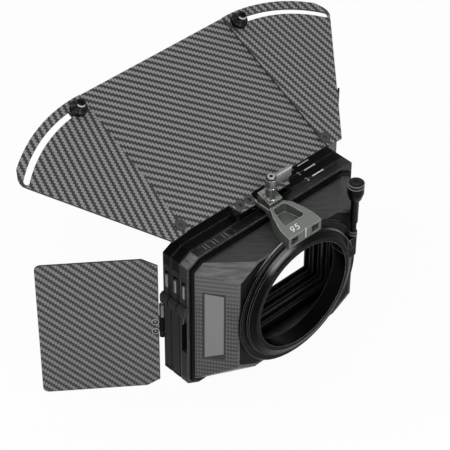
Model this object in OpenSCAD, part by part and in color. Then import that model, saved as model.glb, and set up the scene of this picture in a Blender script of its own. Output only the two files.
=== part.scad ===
// Matte box: three filter stages, a 95 mm lens clamp and folding sun flags.
// The origin is the middle of the clamp bore at its rear face.
// +Y runs forward along the optical axis, +X to the operator's right, +Z up.
// All sizes are millimetres at real size.

/* [Filter box] */
// Width across the two side faces
box_w = 178.6; // [176:0.2:182]
// Height of the top face above the optical axis
box_top = 63; // [62.4:0.2:63.4]
// Depth of the bottom face below the optical axis
box_bottom = 71; // [70:0.5:74]
// Corner cut of the box, measured along the top face
box_cut_x = 11; // [9:0.5:12]
// Corner cut of the box, measured down the side face
box_cut_z = 6; // [5:0.5:7]
// Small corner cut at the top right
box_cut_right = 1.2; // [1:0.1:2]
// Depth of one filter stage along the optical axis
stage_pitch = 9.55; // [9.4:0.05:9.8]
// Distance of the box's rear face from the clamp face
box_rear = 36.7; // [36.5:0.1:37.5]
// Lip that holds the sides of a filter
lip_w = 3.8; // [2.8:0.1:6.8]
// Lip that holds the top and bottom of a filter
lip_h = 2.9; // [1.9:0.1:4.9]
// Small edge cut between neighbouring stages
edge_cut = 0.6; // [0.4:0.1:0.8]

/* [Filter trays] */
// Thickness of a tray
tray_t = 6; // [5.8:0.1:6.2]
// Rim of a tray above and below the filter
tray_edge = 2.6; // [2.1:0.1:3.1]
// Height of the tray's middle above the optical axis
tray_mid = -7.2; // [-8:0.2:-7]
// Rim of a tray beyond the filter on the right
tray_rim = 4.2; // [3.2:0.1:5.2]
// Air between a tray and its slot, on each side
tray_air = 0.2; // [0.15:0.05:0.3]
// Filter width held by a tray
filter_w = 143.6; // [143.2:0.1:144]
// Filter height held by a tray
filter_h = 101.8; // [101.6:0.1:102.2]
// Thickness of the filter pocket
filter_t = 4.2; // [4:0.1:4.4]

/* [Tray latches] */
// Width of the latch slot in the tray end
latch_w = 4.6; // [4.4:0.1:4.8]
// Height of the latch pin above the optical axis
latch_z = 21.5; // [21:0.5:22]
// Radius of the latch pin
latch_pin_r = 1; // [0.9:0.1:1.1]
// Top of the bright catch
tab_top = 36.6; // [36:0.2:37]
// Bottom of the bright catch
tab_bottom = 24.4; // [24:0.2:25]
// Width of the finger pad along the optical axis
pad_w = 8.4; // [8:0.1:8.6]
// Reach of the finger pad beyond the side face
pad_reach = 4; // [3.6:0.1:4.4]

/* [Rear shell] */
// Step in from the box's side face to the shell
shell_step = 5.3; // [4.8:0.1:6.3]
// Half width of the shell at its rear edge
shell_rear_x = 63.5; // [63.5:0.5:65]
// Height of the shell's flat top
shell_top = 57; // [56.6:0.1:57]
// Depth of the shell's bottom at the box
shell_front_low = 66; // [65:0.5:67]
// Depth of the shell's bottom at its rear edge
shell_rear_low = 55; // [54.5:0.5:57]
// Distance of the shell's rear edge from the clamp face
shell_rear = 8; // [8:0.1:8.4]
// Wall thickness of the shell
shell_t = 2.2; // [2:0.1:2.4]

/* [Lens clamp] */
// Diameter of the clamp bore
bore_d = 95; // [94:0.5:95.5]
// Outer radius of the clamp body
ring_r = 57; // [56.5:0.1:57.2]
// Outer radius of the clamp flange
flange_r = 63.4; // [62:0.2:63.4]
// Sideways place of the clamp screw
screw_x = 58; // [57.6:0.1:58.6]
// Distance of the clamp screw from the clamp face
screw_y = 3.7; // [3.6:0.1:3.9]
// Radius of the clamp screw's smooth shank
shank_r = 3.3; // [3:0.1:3.4]
// Radius of the clamp screw's thin end
thread_r = 2.4; // [2.2:0.1:2.6]
// Height of the gap between the clamp lugs
split_z = 14; // [13.5:0.5:15]
// Radius of the clamp screw's knob
clamp_knob_r = 6.7; // [6.2:0.1:7]

/* [Latch arm] */
// Width of the arm at its rear face
arm_w = 35; // [33:0.5:36]
// Width of the arm at its front end
arm_front_w = 15; // [14:0.5:15]
// Height of the arm's top at its rear face
arm_rear_top = 67.3; // [67:0.1:68]
// Rise of the arm's top for each millimetre forward
arm_rise = 0.18; // [0.16:0.01:0.2]
// Distance of the lever post from the clamp face
post_y = 39.3; // [39:0.1:39.6]
// Radius of the lever post
post_r = 4.6; // [4.4:0.1:4.8]
// Height of the lever's hub top
lever_top = 95; // [94:0.5:96]
// Length of the lever handle from the post
lever_len = 21.5; // [20:0.5:23]

/* [Top flag] */
// Tilt of the top flag above level, as photographed
flag_tilt = 26.4; // [24:0.2:28]
// Distance of the wing pivots from the clamp face
flag_y = 58.4; // [58.2:0.1:58.6]
// Height of the wing pivots above the optical axis
flag_z = 79.4; // [79.3:0.1:79.6]
// Half width of the main panel
panel_x = 91; // [90:0.5:92]
// Reach of the main panel past the wings
panel_past = 0.3; // [0:0.1:1]
// Thickness of the flag panels
panel_t = 2; // [1.8:0.1:2]
// Half distance between the wing pivots
pivot_x = 77.5; // [77:0.1:78]
// Radius of the wing slot's middle line
slot_r = 120.2; // [120:0.1:120.6]
// Rim of a wing outside the slot's middle line
wing_rim = 9.8; // [9:0.1:9.8]
// Width of the wing slot
slot_w = 5; // [4.8:0.1:5.2]
// Radius of the flag's hinge pins
flag_pin_r = 1.5; // [1.4:0.1:1.6]
// Distance of the flag's hinge line from the clamp face
hinge_y = 50; // [49.8:0.1:50.2]
// Height of the flag's hinge line
hinge_z = 69; // [68.9:0.1:69.1]

/* [Side flags] */
// Length of a side flag outward from its hinge
side_len = 97; // [92:0.5:97]
// Top edge of the side flags
side_top = 50; // [48:0.5:51]
// Bottom edge of the side flags
side_low = 86.5; // [84:0.5:87]
// Thickness of the side flags
side_t = 1.4; // [1.2:0.1:1.6]
// Angle of the left flag forward of sideways, as photographed
left_swing = 37.7; // [30:0.1:45]
// Angle of the right flag forward of sideways, as photographed
right_swing = 37.7; // [30:0.1:45]
// Distance of the hinge pins in from the side faces
side_pin_in = 0.4; // [0:0.1:0.6]
// Distance of the hinge pins before the front face
side_pin_gap = 2.15; // [2.05:0.05:2.45]
// Radius of the hinge pins
side_pin_r = 0.9; // [0.8:0.05:1]

/* [Hidden] */
$fn = 64;
half_w = box_w / 2;
box_front = box_rear + 3 * stage_pitch;
shell_front = box_rear - 1.7;
shell_front_x = half_w - shell_step;
shell_front_cut = [9, 5];
shell_rear_cut = [19, 11];
label_t = 0.8;
label_in = 0.6;
neck_r = shell_rear_low - shell_t - 0.4;
window_w = filter_w - 2 * lip_w;
window_h = filter_h - 2 * lip_h;
tray_h = filter_h + 2 * tray_edge;
tray_low = tray_mid - tray_h / 2;
tray_reach = filter_w / 2 + tray_rim;
slot_t = tray_t + 2 * tray_air;
tie_r = 1.5;
tie_head_r = 2.9;
tie_head_deep = 2.4;
tie_x = [-half_w + 9.8, half_w - 6.8];
tie_z = [5.4 - box_bottom, box_top - 8.5];
latch_x = -half_w + 3.2;
latch_slot_low = 6;
latch_slot_h = 35;
recess_low = -33;
recess_h = 35.5;
recess_deep = 9.5;
lug_y = 0.6;
lug_r = (shell_rear - 1) / 2;
lug_low = 6;
lug_top = 25;
split_w = 1.6;
seat_z = 57.3;
arm_rear = 1.2;
arm_front = 49;
arm_neck = 32;
arm_base = box_top + 4;
arm_screw_x = arm_w / 2 - 6.5;
arm_screw_y = 5.2;
arm_screw_r = 1.25;
arm_pocket = 3.8;
arm_window = 7.2;
arm_window_h = 6.6;
plate_y = 33.3;
plate_x = 6.7;
plate_rise = 0.3;
plate_seat = 70.4;
plate_top = 75.6;
plate_reach = 13.6;
plate_screw_x = 4.2;
plate_screw_y = plate_y + 11.6;
plate_screw_z = 77.7;
lever_screw_r = 1.5;
hub_h = 7.8;
handle_w = 4.2;
wing_gap = 0.2;
wing_r = slot_r + wing_rim;
panel_len = wing_r + panel_past;
wing_low = -7.5;
wing_low_in = 13.2;
pivot_shank = 2.5;
run = 0.05;
ear_r = 3.1;
ear_in = 8.4;
ear_out = 28.6;
ear_w = 2.7;
tab_in = 8.4;
tab_out = 30.5;
tab_low = -16;
tab_low_out = 26;
notch_low = -6.5;
panel_low = -5.5;
flag_screw_v = -10.4;
flag_screw_in = 13.6;
flag_screw_out = 23.2;
knob_turn = 3.4;
knob_u = pivot_x + slot_r * sin(knob_turn);
knob_v = slot_r * cos(knob_turn);
slot_end = 42;
slide_mid = 32.3 - half_w;
slide_len = 30;
slide_w = 6.4;
slide_travel = 4;
side_pin_x = half_w - side_pin_in;
side_pin_y = box_front + side_pin_gap;
side_edge = 2.6;
side_face = 2.1;
side_leaf_t = 1.5;
side_screw_u = 5.6;
side_screw_z = [-25.4, -15.6];
barrel_r = 1.8;
barrel_low = -34;
barrel_top = 0.6;
knuckle_low = -28.4;
knuckle_top = -12.6;
knuckle_gap = 0.2;
side_plate_t = 1.2;
side_plate_x = half_w - 13.3;
side_plate_screw_x = half_w - 7.8;
side_plate_bite = 1.4;
side_plate_screw_z = [-28, -5];
thread_low = 7.4;
shank_low = 39;
collar_z = [25.2, 28];
collar_h = 2;
clamp_knob_low = 62.6;
clamp_knob_mid = 69;
clamp_knob_h = 10.2;
clamp_groove_z = [70.2, 73.2];
// Which piece to draw

// Middle of stage n along the optical axis, counted 1 at the front
function stage_mid(n) = box_front - (n - 0.5) * stage_pitch;

// Height of the arm's sloping top at distance y
function arm_top(y) = arm_rear_top + (y - arm_rear) * arm_rise;

// Extrudes a drawing in X and Z between two distances along Y
module slab(y0, y1) {
  translate([0, y1, 0])
    rotate([90, 0, 0])
      linear_extrude(y1 - y0)
        children();
}

// Rectangle with cut corners
module cut_rect(hx, top, low, cx, cz) {
  polygon([[-hx, top - cz], [-hx + cx, top], [hx - cx, top], [hx, top - cz],
    [hx, cz - low], [hx - cx, -low], [-hx + cx, -low], [-hx, cz - low]]);
}

// Outline of the filter box, made smaller by d
module box_outline(d) {
  hx = half_w - d;
  top = box_top - d;
  low = box_bottom - d;
  polygon([[-hx, top - box_cut_z], [-hx + box_cut_x, top], [hx - box_cut_right, top],
    [hx, top - box_cut_right], [hx, box_cut_z - low], [hx - box_cut_x, -low],
    [-hx + box_cut_x, -low], [-hx, box_cut_z - low]]);
}

module window_2d(grow) {
  translate([-window_w / 2 - grow, tray_mid - window_h / 2 - grow])
    square([window_w + 2 * grow, window_h + 2 * grow]);
}

// Screw bores run through all stages at these places
module at_ties() {
  for (x = tie_x, z = tie_z)
    translate([x, 0, z])
      rotate([-90, 0, 0])
        children();
}

module stage(n) {
  y0 = box_front - n * stage_pitch;
  mid = stage_mid(n);
  difference() {
    union() {
      slab(y0 + edge_cut, y0 + stage_pitch - edge_cut)
        box_outline(0);
      slab(y0, y0 + stage_pitch)
        box_outline(edge_cut);
    }
    slab(y0 - 1, y0 + stage_pitch + 1)
      window_2d(0);
    translate([-half_w - 1, mid - slot_t / 2, tray_low - tray_air])
      cube([half_w + 1 + tray_reach + tray_air, slot_t, tray_h + 2 * tray_air]);
    at_ties()
      cylinder(r = tie_r, h = box_front + 5);
  }
}

module stage_front() {
  color("#1b1c1e")
    difference() {
      stage(1);
      at_ties()
        translate([0, 0, box_front - tie_head_deep])
          cylinder(r = tie_head_r + 0.2, h = 10);
      for (s = [-1, 1], z = side_plate_screw_z)
        translate([s * side_plate_screw_x, box_front - 3, z])
          rotate([-90, 0, 0])
            cylinder(r = 1, h = 5);
    }
}

module stage_middle() {
  color("#1b1c1e")
    stage(2);
}

// The rear stage has the recess of the slide lock in its top
module stage_rear() {
  color("#222326")
    difference() {
      stage(3);
      translate([slide_mid - slide_len / 2 - 0.2, stage_mid(3) - slide_w / 2 - 0.2, box_top - 2.2])
        cube([slide_len + slide_travel + 0.4, slide_w + 0.4, 5]);
      translate([0, post_y, box_top - 2.6])
        cylinder(r = lever_screw_r, h = 5);
    }
}

// Stepped ring between the box and the shell
module back_frame() {
  color("#141517")
    difference() {
      slab(shell_front, box_rear)
        cut_rect(half_w - 2.6, box_top - 3, box_bottom - 3, 10, 5.4);
      slab(shell_front - 1, box_rear + 1)
        window_2d(3);
    }
}

module shell_solid(d) {
  hull() {
    slab(shell_front - 0.2, shell_front)
      cut_rect(shell_front_x - d, shell_top - d, shell_front_low - d,
        shell_front_cut[0], shell_front_cut[1]);
    slab(shell_rear, shell_rear + 0.2)
      cut_rect(shell_rear_x - d, shell_top - d, shell_rear_low - d,
        shell_rear_cut[0], shell_rear_cut[1]);
  }
}

// Places children on the left face of the shell, with Z pointing out of it
module on_shell_side() {
  run_y = shell_front - shell_rear;
  lean = atan2(run_y, shell_front_x - shell_rear_x);
  translate([-(shell_front_x + shell_rear_x) / 2, (shell_front + shell_rear) / 2, 0])
    rotate([0, 0, -lean])
      rotate([90, 0, 0])
        children();
}

// Outline of a side plate on the shell, with its plate set in by label_in
module label_cut(extra) {
  linear_extrude(label_t + extra)
    polygon([[-9.2, -36], [5.9, -30.6], [5.9, 30.5], [-9.2, 31.9]]);
}

module shell() {
  color("#2c2d30")
    difference() {
      shell_solid(0);
      shell_solid(shell_t);
      slab(shell_front - 0.21, box_rear)
        cut_rect(shell_front_x - shell_t, shell_top - shell_t, shell_front_low - shell_t,
          shell_front_cut[0] - 0.6, shell_front_cut[1] - 0.4);
      slab(shell_rear - 1, shell_rear + 5)
        cut_rect(shell_rear_x - shell_t, shell_top - shell_t, shell_rear_low - shell_t,
          shell_rear_cut[0] - 0.4, shell_rear_cut[1] - 0.2);
      on_shell_side()
        translate([0, 0, -label_in])
          label_cut(3);
      mirror([1, 0, 0])
        on_shell_side()
          translate([0, 0, -label_in])
            label_cut(3);
    }
}

module label_left() {
  color("#b9babb")
    on_shell_side()
      translate([0, 0, -label_in])
        label_cut(0);
}

module label_right() {
  color("#b9babb")
    mirror([1, 0, 0])
      on_shell_side()
        translate([0, 0, -label_in])
          label_cut(0);
}

// Flat plate that closes the shell around the clamp
module collar_plate() {
  color("#151618")
    difference() {
      slab(shell_rear, shell_rear + 2.6)
        cut_rect(shell_rear_x - shell_t, shell_top - shell_t, shell_rear_low - shell_t,
          shell_rear_cut[0] - 0.4, shell_rear_cut[1] - 0.2);
      slab(shell_rear - 1, shell_rear + 4)
        circle(r = neck_r + 0.2, $fn = 128);
    }
}

module lens_bore(y0, y1) {
  translate([0, y1, 0])
    rotate([90, 0, 0])
      cylinder(d = bore_d, h = y1 - y0, $fn = 144);
}

// Split ring that grips the lens, with lugs for the clamp screw
module clamp_ring() {
  color("#161719")
    difference() {
      union() {
        rotate([-90, 0, 0])
          rotate_extrude($fn = 144)
            polygon([[bore_d / 2 - 1, 0], [bore_d / 2 + 3.5, 0], [bore_d / 2 + 7.4, 2],
              [ring_r, 2.8], [ring_r, 4.8], [flange_r - 1, 4.8], [flange_r, 5.6],
              [flange_r, shell_rear], [neck_r, shell_rear],
              [neck_r, shell_rear + 6], [bore_d / 2 - 1, shell_rear + 6]]);
        translate([bore_d / 2 + 2.5, lug_y, lug_low])
          cube([screw_x - bore_d / 2 - 2.5, 2 * lug_r, lug_top - lug_low]);
        translate([screw_x, lug_y + lug_r, lug_low])
          cylinder(r = lug_r, h = lug_top - lug_low);
      }
      lens_bore(-1, shell_rear + 7);
      translate([bore_d / 2 - 7.5, -1, split_z])
        cube([30, shell_rear + 8, split_w]);
      translate([screw_x, screw_y, thread_low - 0.6])
        cylinder(r = thread_r + run, h = split_z);
      translate([screw_x, screw_y, split_z])
        cylinder(r = thread_r + 0.1, h = 30);
      translate([screw_x - 5.4, -1, lug_top])
        cube([20, shell_rear + 1.2, 40]);
      translate([-arm_w / 2 - 0.6, -1, seat_z])
        cube([arm_w + 1.2, 20, 20]);
      for (s = [-1, 1])
        translate([s * arm_screw_x, arm_screw_y, bore_d / 2 + 2.5])
          cylinder(r = arm_screw_r, h = 10);
    }
}

// Arm outline seen from above
module arm_2d() {
  polygon([[-arm_w / 2, arm_rear], [arm_w / 2, arm_rear], [arm_w / 2, 9.5],
    [arm_w / 2 - 1.8, 16.6], [arm_w / 2 - 5.5, 27.3], [arm_front_w / 2, arm_neck],
    [arm_front_w / 2, arm_front], [-arm_front_w / 2, arm_front],
    [-arm_front_w / 2, arm_neck], [5.5 - arm_w / 2, arm_neck - 8],
    [-arm_w / 2 + 1, 11.5]]);
}

// Side view of the arm as Y and Z
module arm_profile() {
  polygon([[arm_rear - 1, seat_z], [22, seat_z], [arm_neck + 1, box_top],
    [arm_neck + 5, arm_base], [arm_front + 1, arm_base],
    [arm_front + 1, plate_seat], [plate_y - 0.9, plate_seat],
    [plate_y - 0.9, arm_top(plate_y - 0.9)], [arm_rear - 1, arm_top(arm_rear - 1)]]);
}

module arm() {
  color("#8a8b7e")
    difference() {
      intersection() {
        linear_extrude(lever_top)
          arm_2d();
        translate([-arm_w, 0, 0])
          rotate([90, 0, 90])
            linear_extrude(2 * arm_w)
              arm_profile();
      }
      translate([0, 0, arm_rear_top - arm_pocket])
        linear_extrude(30)
          polygon([[8 - arm_w / 2, 12.5], [arm_w / 2 - 8, 12.5], [arm_w / 2 - 7, 14.5],
            [arm_front_w / 2 - 0.5, arm_neck - 3], [arm_front_w / 2 - 2.3, arm_neck - 1.5],
            [2.3 - arm_front_w / 2, arm_neck - 1.5], [0.5 - arm_front_w / 2, arm_neck - 3],
            [7 - arm_w / 2, 14.5]]);
      for (s = [-1, 1])
        translate([s * arm_screw_x - arm_window / 2, -1, seat_z + 1.6])
          cube([arm_window, arm_screw_y + 4.4, arm_window_h]);
      for (s = [-1, 1])
        translate([s * arm_screw_x, arm_screw_y, seat_z - 7])
          cylinder(r = 1.6, h = 10);
      translate([0, post_y, box_top])
        cylinder(r = lever_screw_r + 0.2, h = 30);
      for (s = [-1, 1])
        translate([s * plate_screw_x, plate_screw_y, plate_seat - 3])
          cylinder(r = 0.8, h = 9);
    }
}

// Black seat between the arm's front end and the box
module arm_seat() {
  color("#17181a")
    difference() {
      translate([-arm_front_w / 2 + 0.6, arm_neck + 5.5, box_top])
        cube([arm_front_w - 1.2, arm_front - arm_neck - 6, arm_base - box_top]);
      translate([0, post_y, box_top - 1])
        cylinder(r = lever_screw_r, h = 8);
    }
}

module arm_screws() {
  color("#2a2b2d")
    for (s = [-1, 1])
      translate([s * arm_screw_x, arm_screw_y, 0])
        difference() {
          union() {
            translate([0, 0, bore_d / 2 + 4.5])
              cylinder(r = arm_screw_r, h = 7.5);
            translate([0, 0, seat_z + 1.6])
              cylinder(r = 2.6, h = 2.6);
          }
          translate([0, 0, seat_z + 3])
            cylinder(r = 1.3, h = 4, $fn = 6);
        }
}

// Sloping plate over the arm with the lever's post on it
module lever_plate() {
  color("#8f9083")
    difference() {
      union() {
        translate([-plate_x, 0, 0])
          rotate([90, 0, 90])
            linear_extrude(2 * plate_x)
              polygon([[plate_y, plate_seat], [plate_y + plate_reach, plate_seat],
                [plate_y + plate_reach, plate_top + plate_reach * plate_rise],
                [plate_y, plate_top]]);
        translate([0, post_y, plate_seat])
          cylinder(r = post_r, h = lever_top - hub_h - 0.2 - plate_seat);
      }
      translate([0, post_y, box_top])
        cylinder(r = lever_screw_r, h = 60);
      for (s = [-1, 1])
        translate([s * plate_screw_x, plate_screw_y, 0]) {
          translate([0, 0, plate_seat - 1])
            cylinder(r = 0.8, h = 20);
          translate([0, 0, plate_screw_z])
            cylinder(r = 1.6, h = 9);
        }
    }
}

module plate_screws() {
  color("#c9cac6")
    for (s = [-1, 1])
      translate([s * plate_screw_x, plate_screw_y, 0])
        difference() {
          union() {
            translate([0, 0, plate_seat - 2.8])
              cylinder(r = 0.8, h = plate_screw_z - plate_seat + 3);
            translate([0, 0, plate_screw_z])
              cylinder(r = 1.5, h = 1.7);
          }
          translate([0, 0, plate_screw_z + 1])
            cylinder(r = 0.7, h = 2, $fn = 6);
        }
}

// Pivot screw of the lever, run down through post and arm into the box
module lever_screw() {
  color("#b9bab4")
    translate([0, post_y, 0])
      difference() {
        union() {
          translate([0, 0, box_top - 2.5])
            cylinder(r = lever_screw_r, h = lever_top + 2.7 - box_top);
          translate([0, 0, lever_top + 0.2])
            cylinder(r = 3, h = 1.9);
        }
        translate([0, 0, lever_top + 0.9])
          cylinder(r = 1.5, h = 3, $fn = 6);
      }
}

module latch_lever() {
  color("#8f9083")
    translate([0, post_y, 0])
      difference() {
        union() {
          translate([0, 0, lever_top - hub_h])
            cylinder(r = post_r, h = hub_h);
          translate([0, -handle_w / 2, lever_top - hub_h + 0.2])
            cube([lever_len - handle_w / 2, handle_w, hub_h - 0.2]);
          translate([lever_len - handle_w / 2, 0, lever_top - hub_h + 0.2])
            cylinder(r = handle_w / 2, h = hub_h - 0.2);
        }
        translate([0, 0, box_top])
          cylinder(r = lever_screw_r + run, h = 60);
      }
}

// One hinge bracket of the top flag, on the right of the arm
module bracket() {
  difference() {
    union() {
      translate([ear_in, hinge_y - 6, box_top])
        cube([ear_out - ear_in, 13, 1.8]);
      for (x = [ear_in, ear_out - ear_w])
        translate([x, hinge_y, hinge_z])
          rotate([0, 90, 0])
            cylinder(r = ear_r, h = ear_w);
      for (x = [ear_in, ear_out - ear_w])
        translate([x, hinge_y - ear_r, box_top])
          cube([ear_w, 2 * ear_r, hinge_z - box_top]);
    }
    translate([0, hinge_y, hinge_z])
      rotate([0, 90, 0])
        cylinder(r = flag_pin_r, h = 40);
  }
}

module bracket_right() {
  color("#17181a")
    bracket();
}

module bracket_left() {
  color("#17181a")
    mirror([1, 0, 0])
      bracket();
}

module flag_pins() {
  color("#6d6e70")
    for (s = [0, 1])
      mirror([s, 0, 0])
        translate([ear_in - 0.3, hinge_y, hinge_z])
          rotate([0, 90, 0])
            cylinder(r = flag_pin_r, h = ear_out - ear_in + 0.6);
}

// Frame of the top flag: X, then up the slope, then out of the panel
module in_flag() {
  translate([0, flag_y, flag_z])
    rotate([flag_tilt, 0, 0])
      children();
}

module flag_panel() {
  color("#7c7d80")
    in_flag()
      difference() {
        translate([0, 0, -wing_gap - panel_t])
          linear_extrude(panel_t)
            difference() {
              polygon([[-panel_x, panel_low], [-tab_out, panel_low], [-tab_low_out, tab_low],
                [-tab_in, tab_low], [-tab_in, notch_low], [tab_in, notch_low],
                [tab_in, tab_low], [tab_low_out, tab_low], [tab_out, panel_low],
                [panel_x, panel_low],
                [panel_x, panel_len - 5], [panel_x - 12, panel_len], [12 - panel_x, panel_len],
                [-panel_x, panel_len - 5]]);
              for (s = [-1, 1]) {
                translate([s * pivot_x, 0])
                  circle(r = pivot_shank);
                translate([s * knob_u, knob_v])
                  circle(r = 2);
              }
            }
        for (x = [-flag_screw_out, -flag_screw_in, flag_screw_in, flag_screw_out])
          translate([x, flag_screw_v, -wing_gap - 1.6])
            cylinder(r1 = 1.3, r2 = 2.9, h = 1.6);
        for (x = [-flag_screw_out, -flag_screw_in, flag_screw_in, flag_screw_out])
          translate([x, flag_screw_v, -10])
            cylinder(r = 1.3, h = 20);
      }
}

// Hinge leaves under the two tabs of the panel
module flag_leaves() {
  leaf_top = -wing_gap - panel_t;
  color("#18191b")
    for (s = [0, 1])
      mirror([s, 0, 0])
        difference() {
          union() {
            in_flag()
              translate([ear_in + ear_w + 0.5, tab_low + 3, leaf_top - 2])
                cube([ear_out - ear_in - 2 * ear_w - 1, 11.5, 2]);
            translate([ear_in + ear_w + 0.3, hinge_y, hinge_z])
              rotate([0, 90, 0])
                cylinder(r = ear_r, h = ear_out - ear_in - 2 * ear_w - 0.6);
          }
          translate([0, hinge_y, hinge_z])
            rotate([0, 90, 0])
              cylinder(r = flag_pin_r + run, h = 40);
          in_flag()
            for (x = [flag_screw_in, flag_screw_out])
              translate([x, flag_screw_v, leaf_top - 1.2])
                cylinder(r = 1.3, h = 3);
        }
}

module flag_screws() {
  color("#55565a")
    in_flag()
      for (x = [-flag_screw_out, -flag_screw_in, flag_screw_in, flag_screw_out])
        translate([x, flag_screw_v, 0])
          difference() {
            union() {
              translate([0, 0, -wing_gap - panel_t - 1.1])
                cylinder(r = 1.3, h = panel_t - 0.3);
              translate([0, 0, -wing_gap - 1.6])
                cylinder(r1 = 1.3, r2 = 2.9, h = 1.6);
            }
            translate([0, 0, -wing_gap - 1])
              cylinder(r = 1, h = 3, $fn = 6);
          }
}

module wing_pivots() {
  color("#37383b")
    in_flag()
      for (s = [-1, 1])
        translate([s * pivot_x, 0, 0])
          difference() {
            union() {
              translate([0, 0, -wing_gap - panel_t - 1.2])
                cylinder(r = 4, h = 1.2);
              translate([0, 0, -wing_gap - panel_t])
                cylinder(r = pivot_shank, h = panel_t * 2 + 0.6);
              translate([0, 0, panel_t + 0.2])
                cylinder(r = 4.6, h = 1.4);
            }
            translate([0, 0, panel_t + 0.8])
              cylinder(r = 1.4, h = 3, $fn = 6);
          }
}

// Outline of the right wing in the flag's frame
module wing_2d() {
  translate([pivot_x, 0])
    difference() {
      intersection() {
        circle(r = wing_r, $fn = 180);
        polygon([[-2, wing_low + 1], [wing_low_in, wing_low], from_pivot(44.18, slot_r - 2),
          from_pivot(43.81, slot_r + 2), from_pivot(42.86, wing_r - 5),
          from_pivot(41.36, wing_r - 2.9), from_pivot(39.11, wing_r - 1.1),
          from_pivot(36.28, wing_r + 1.5), from_pivot(24.44, wing_r + 15),
          [-2, wing_r + 2]]);
      }
      difference() {
        intersection() {
          circle(r = slot_r + slot_w / 2, $fn = 180);
          polygon([[0, 0], from_pivot(knob_turn, slot_r * 1.2),
            from_pivot((knob_turn + slot_end) / 2, slot_r * 1.6),
            from_pivot(slot_end, slot_r * 1.2)]);
        }
        circle(r = slot_r - slot_w / 2, $fn = 180);
      }
      for (a = [knob_turn, slot_end])
        translate(from_pivot(a, slot_r))
          circle(r = slot_w / 2 - 0.05);
      circle(r = pivot_shank + run);
    }
}

// Point at angle a from straight ahead and distance r from a wing's pivot
function from_pivot(a, r) = [r * sin(a), r * cos(a)];

module wing() {
  in_flag()
    linear_extrude(panel_t)
      wing_2d();
}

module right_wing() {
  color("#7c7d80")
    wing();
}

module left_wing() {
  color("#7c7d80")
    mirror([1, 0, 0])
      wing();
}

module knob_washers() {
  color("#2b2c2f")
    in_flag()
      for (s = [-1, 1])
        translate([s * knob_u, knob_v, -wing_gap])
          difference() {
            cylinder(r = 2.35, h = panel_t + 0.5);
            translate([0, 0, -1])
              cylinder(r = 2, h = 6);
          }
}

// Thumb screw that fixes a wing
module thumb_screw() {
  in_flag()
    translate([knob_u, knob_v, 0]) {
      translate([0, 0, -wing_gap - panel_t - 2.5])
        cylinder(r = 1.95, h = panel_t * 2 + 5);
      translate([0, 0, panel_t + 0.4])
        cylinder(r = 7, h = 3.4);
      translate([0, 0, panel_t + 3.8])
        cylinder(r1 = 7, r2 = 4.4, h = 2.2);
      translate([0, 0, panel_t + 6])
        cylinder(r = 3, h = 3);
      translate([0, 0, panel_t + 9])
        cylinder(r = 3.8, h = 1.8);
    }
}

module right_knob() {
  color("#121315")
    thumb_screw();
}

module left_knob() {
  color("#121315")
    mirror([1, 0, 0])
      thumb_screw();
}

// Frame of a side flag on the right: outward, then up, then to the rear
module in_side(swing) {
  translate([side_pin_x, side_pin_y, 0])
    rotate([0, 0, swing])
      rotate([90, 0, 0])
        children();
}

// Outline of a side flag: cut corners by the hinge, round ones outside
module side_2d() {
  r = 5;
  difference() {
    union() {
      polygon([[side_edge, 6.4 - side_low], [side_edge + 10.5, -side_low],
        [side_len - r, -side_low], [side_len - r, side_top], [side_edge + 12.5, side_top],
        [side_edge, side_top - 7.5]]);
      translate([side_len - 2 * r, r - side_low])
        square([2 * r, side_top + side_low - 2 * r]);
      translate([side_len - r, r - side_low])
        circle(r = r);
      translate([side_len - r, side_top - r])
        circle(r = r);
    }
    for (z = side_screw_z)
      translate([side_screw_u, z])
        circle(r = 1.4);
  }
}

module side_flag(swing) {
  in_side(swing)
    translate([0, 0, side_face - side_t])
      linear_extrude(side_t)
        side_2d();
}

module right_flag() {
  color("#8a8b8e")
    side_flag(right_swing);
}

module left_flag() {
  color("#8a8b8e")
    mirror([1, 0, 0])
      side_flag(left_swing);
}

// Moving hinge leaf on the front of a side flag, with its knuckle round the pin
module side_leaf(swing) {
  leaf_front = side_face - side_t - side_leaf_t;
  in_side(swing)
    difference() {
      union() {
        translate([0, knuckle_low, leaf_front])
          cube([12.5, knuckle_top - knuckle_low, side_leaf_t]);
        translate([0, knuckle_low, 0])
          rotate([-90, 0, 0])
            cylinder(r = barrel_r, h = knuckle_top - knuckle_low);
      }
      translate([0, barrel_low, 0])
        rotate([-90, 0, 0])
          cylinder(r = side_pin_r + run, h = barrel_top - barrel_low);
      for (z = side_screw_z)
        translate([side_screw_u, z, leaf_front - 1])
          cylinder(r = 1.4, h = side_leaf_t + 2);
    }
}

module right_leaf() {
  color("#1a1b1d")
    side_leaf(right_swing);
}

module left_leaf() {
  color("#1a1b1d")
    mirror([1, 0, 0])
      side_leaf(left_swing);
}

// Two cross-head screws of a side flag
module side_screws(swing) {
  in_side(swing)
    for (z = side_screw_z)
      translate([side_screw_u, z, side_face])
        difference() {
          union() {
            translate([0, 0, 0.2 - side_t - side_leaf_t])
              cylinder(r = 1.4, h = side_t + side_leaf_t);
            cylinder(r = 2.9, h = 1.2);
          }
          for (a = [0, 90])
            rotate([0, 0, a])
              translate([-1.6, -0.35, 0.6])
                cube([3.2, 0.7, 2]);
        }
}

module right_flag_screws() {
  color("#5a5b5e")
    side_screws(right_swing);
}

module left_flag_screws() {
  color("#5a5b5e")
    mirror([1, 0, 0])
      side_screws(left_swing);
}

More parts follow.
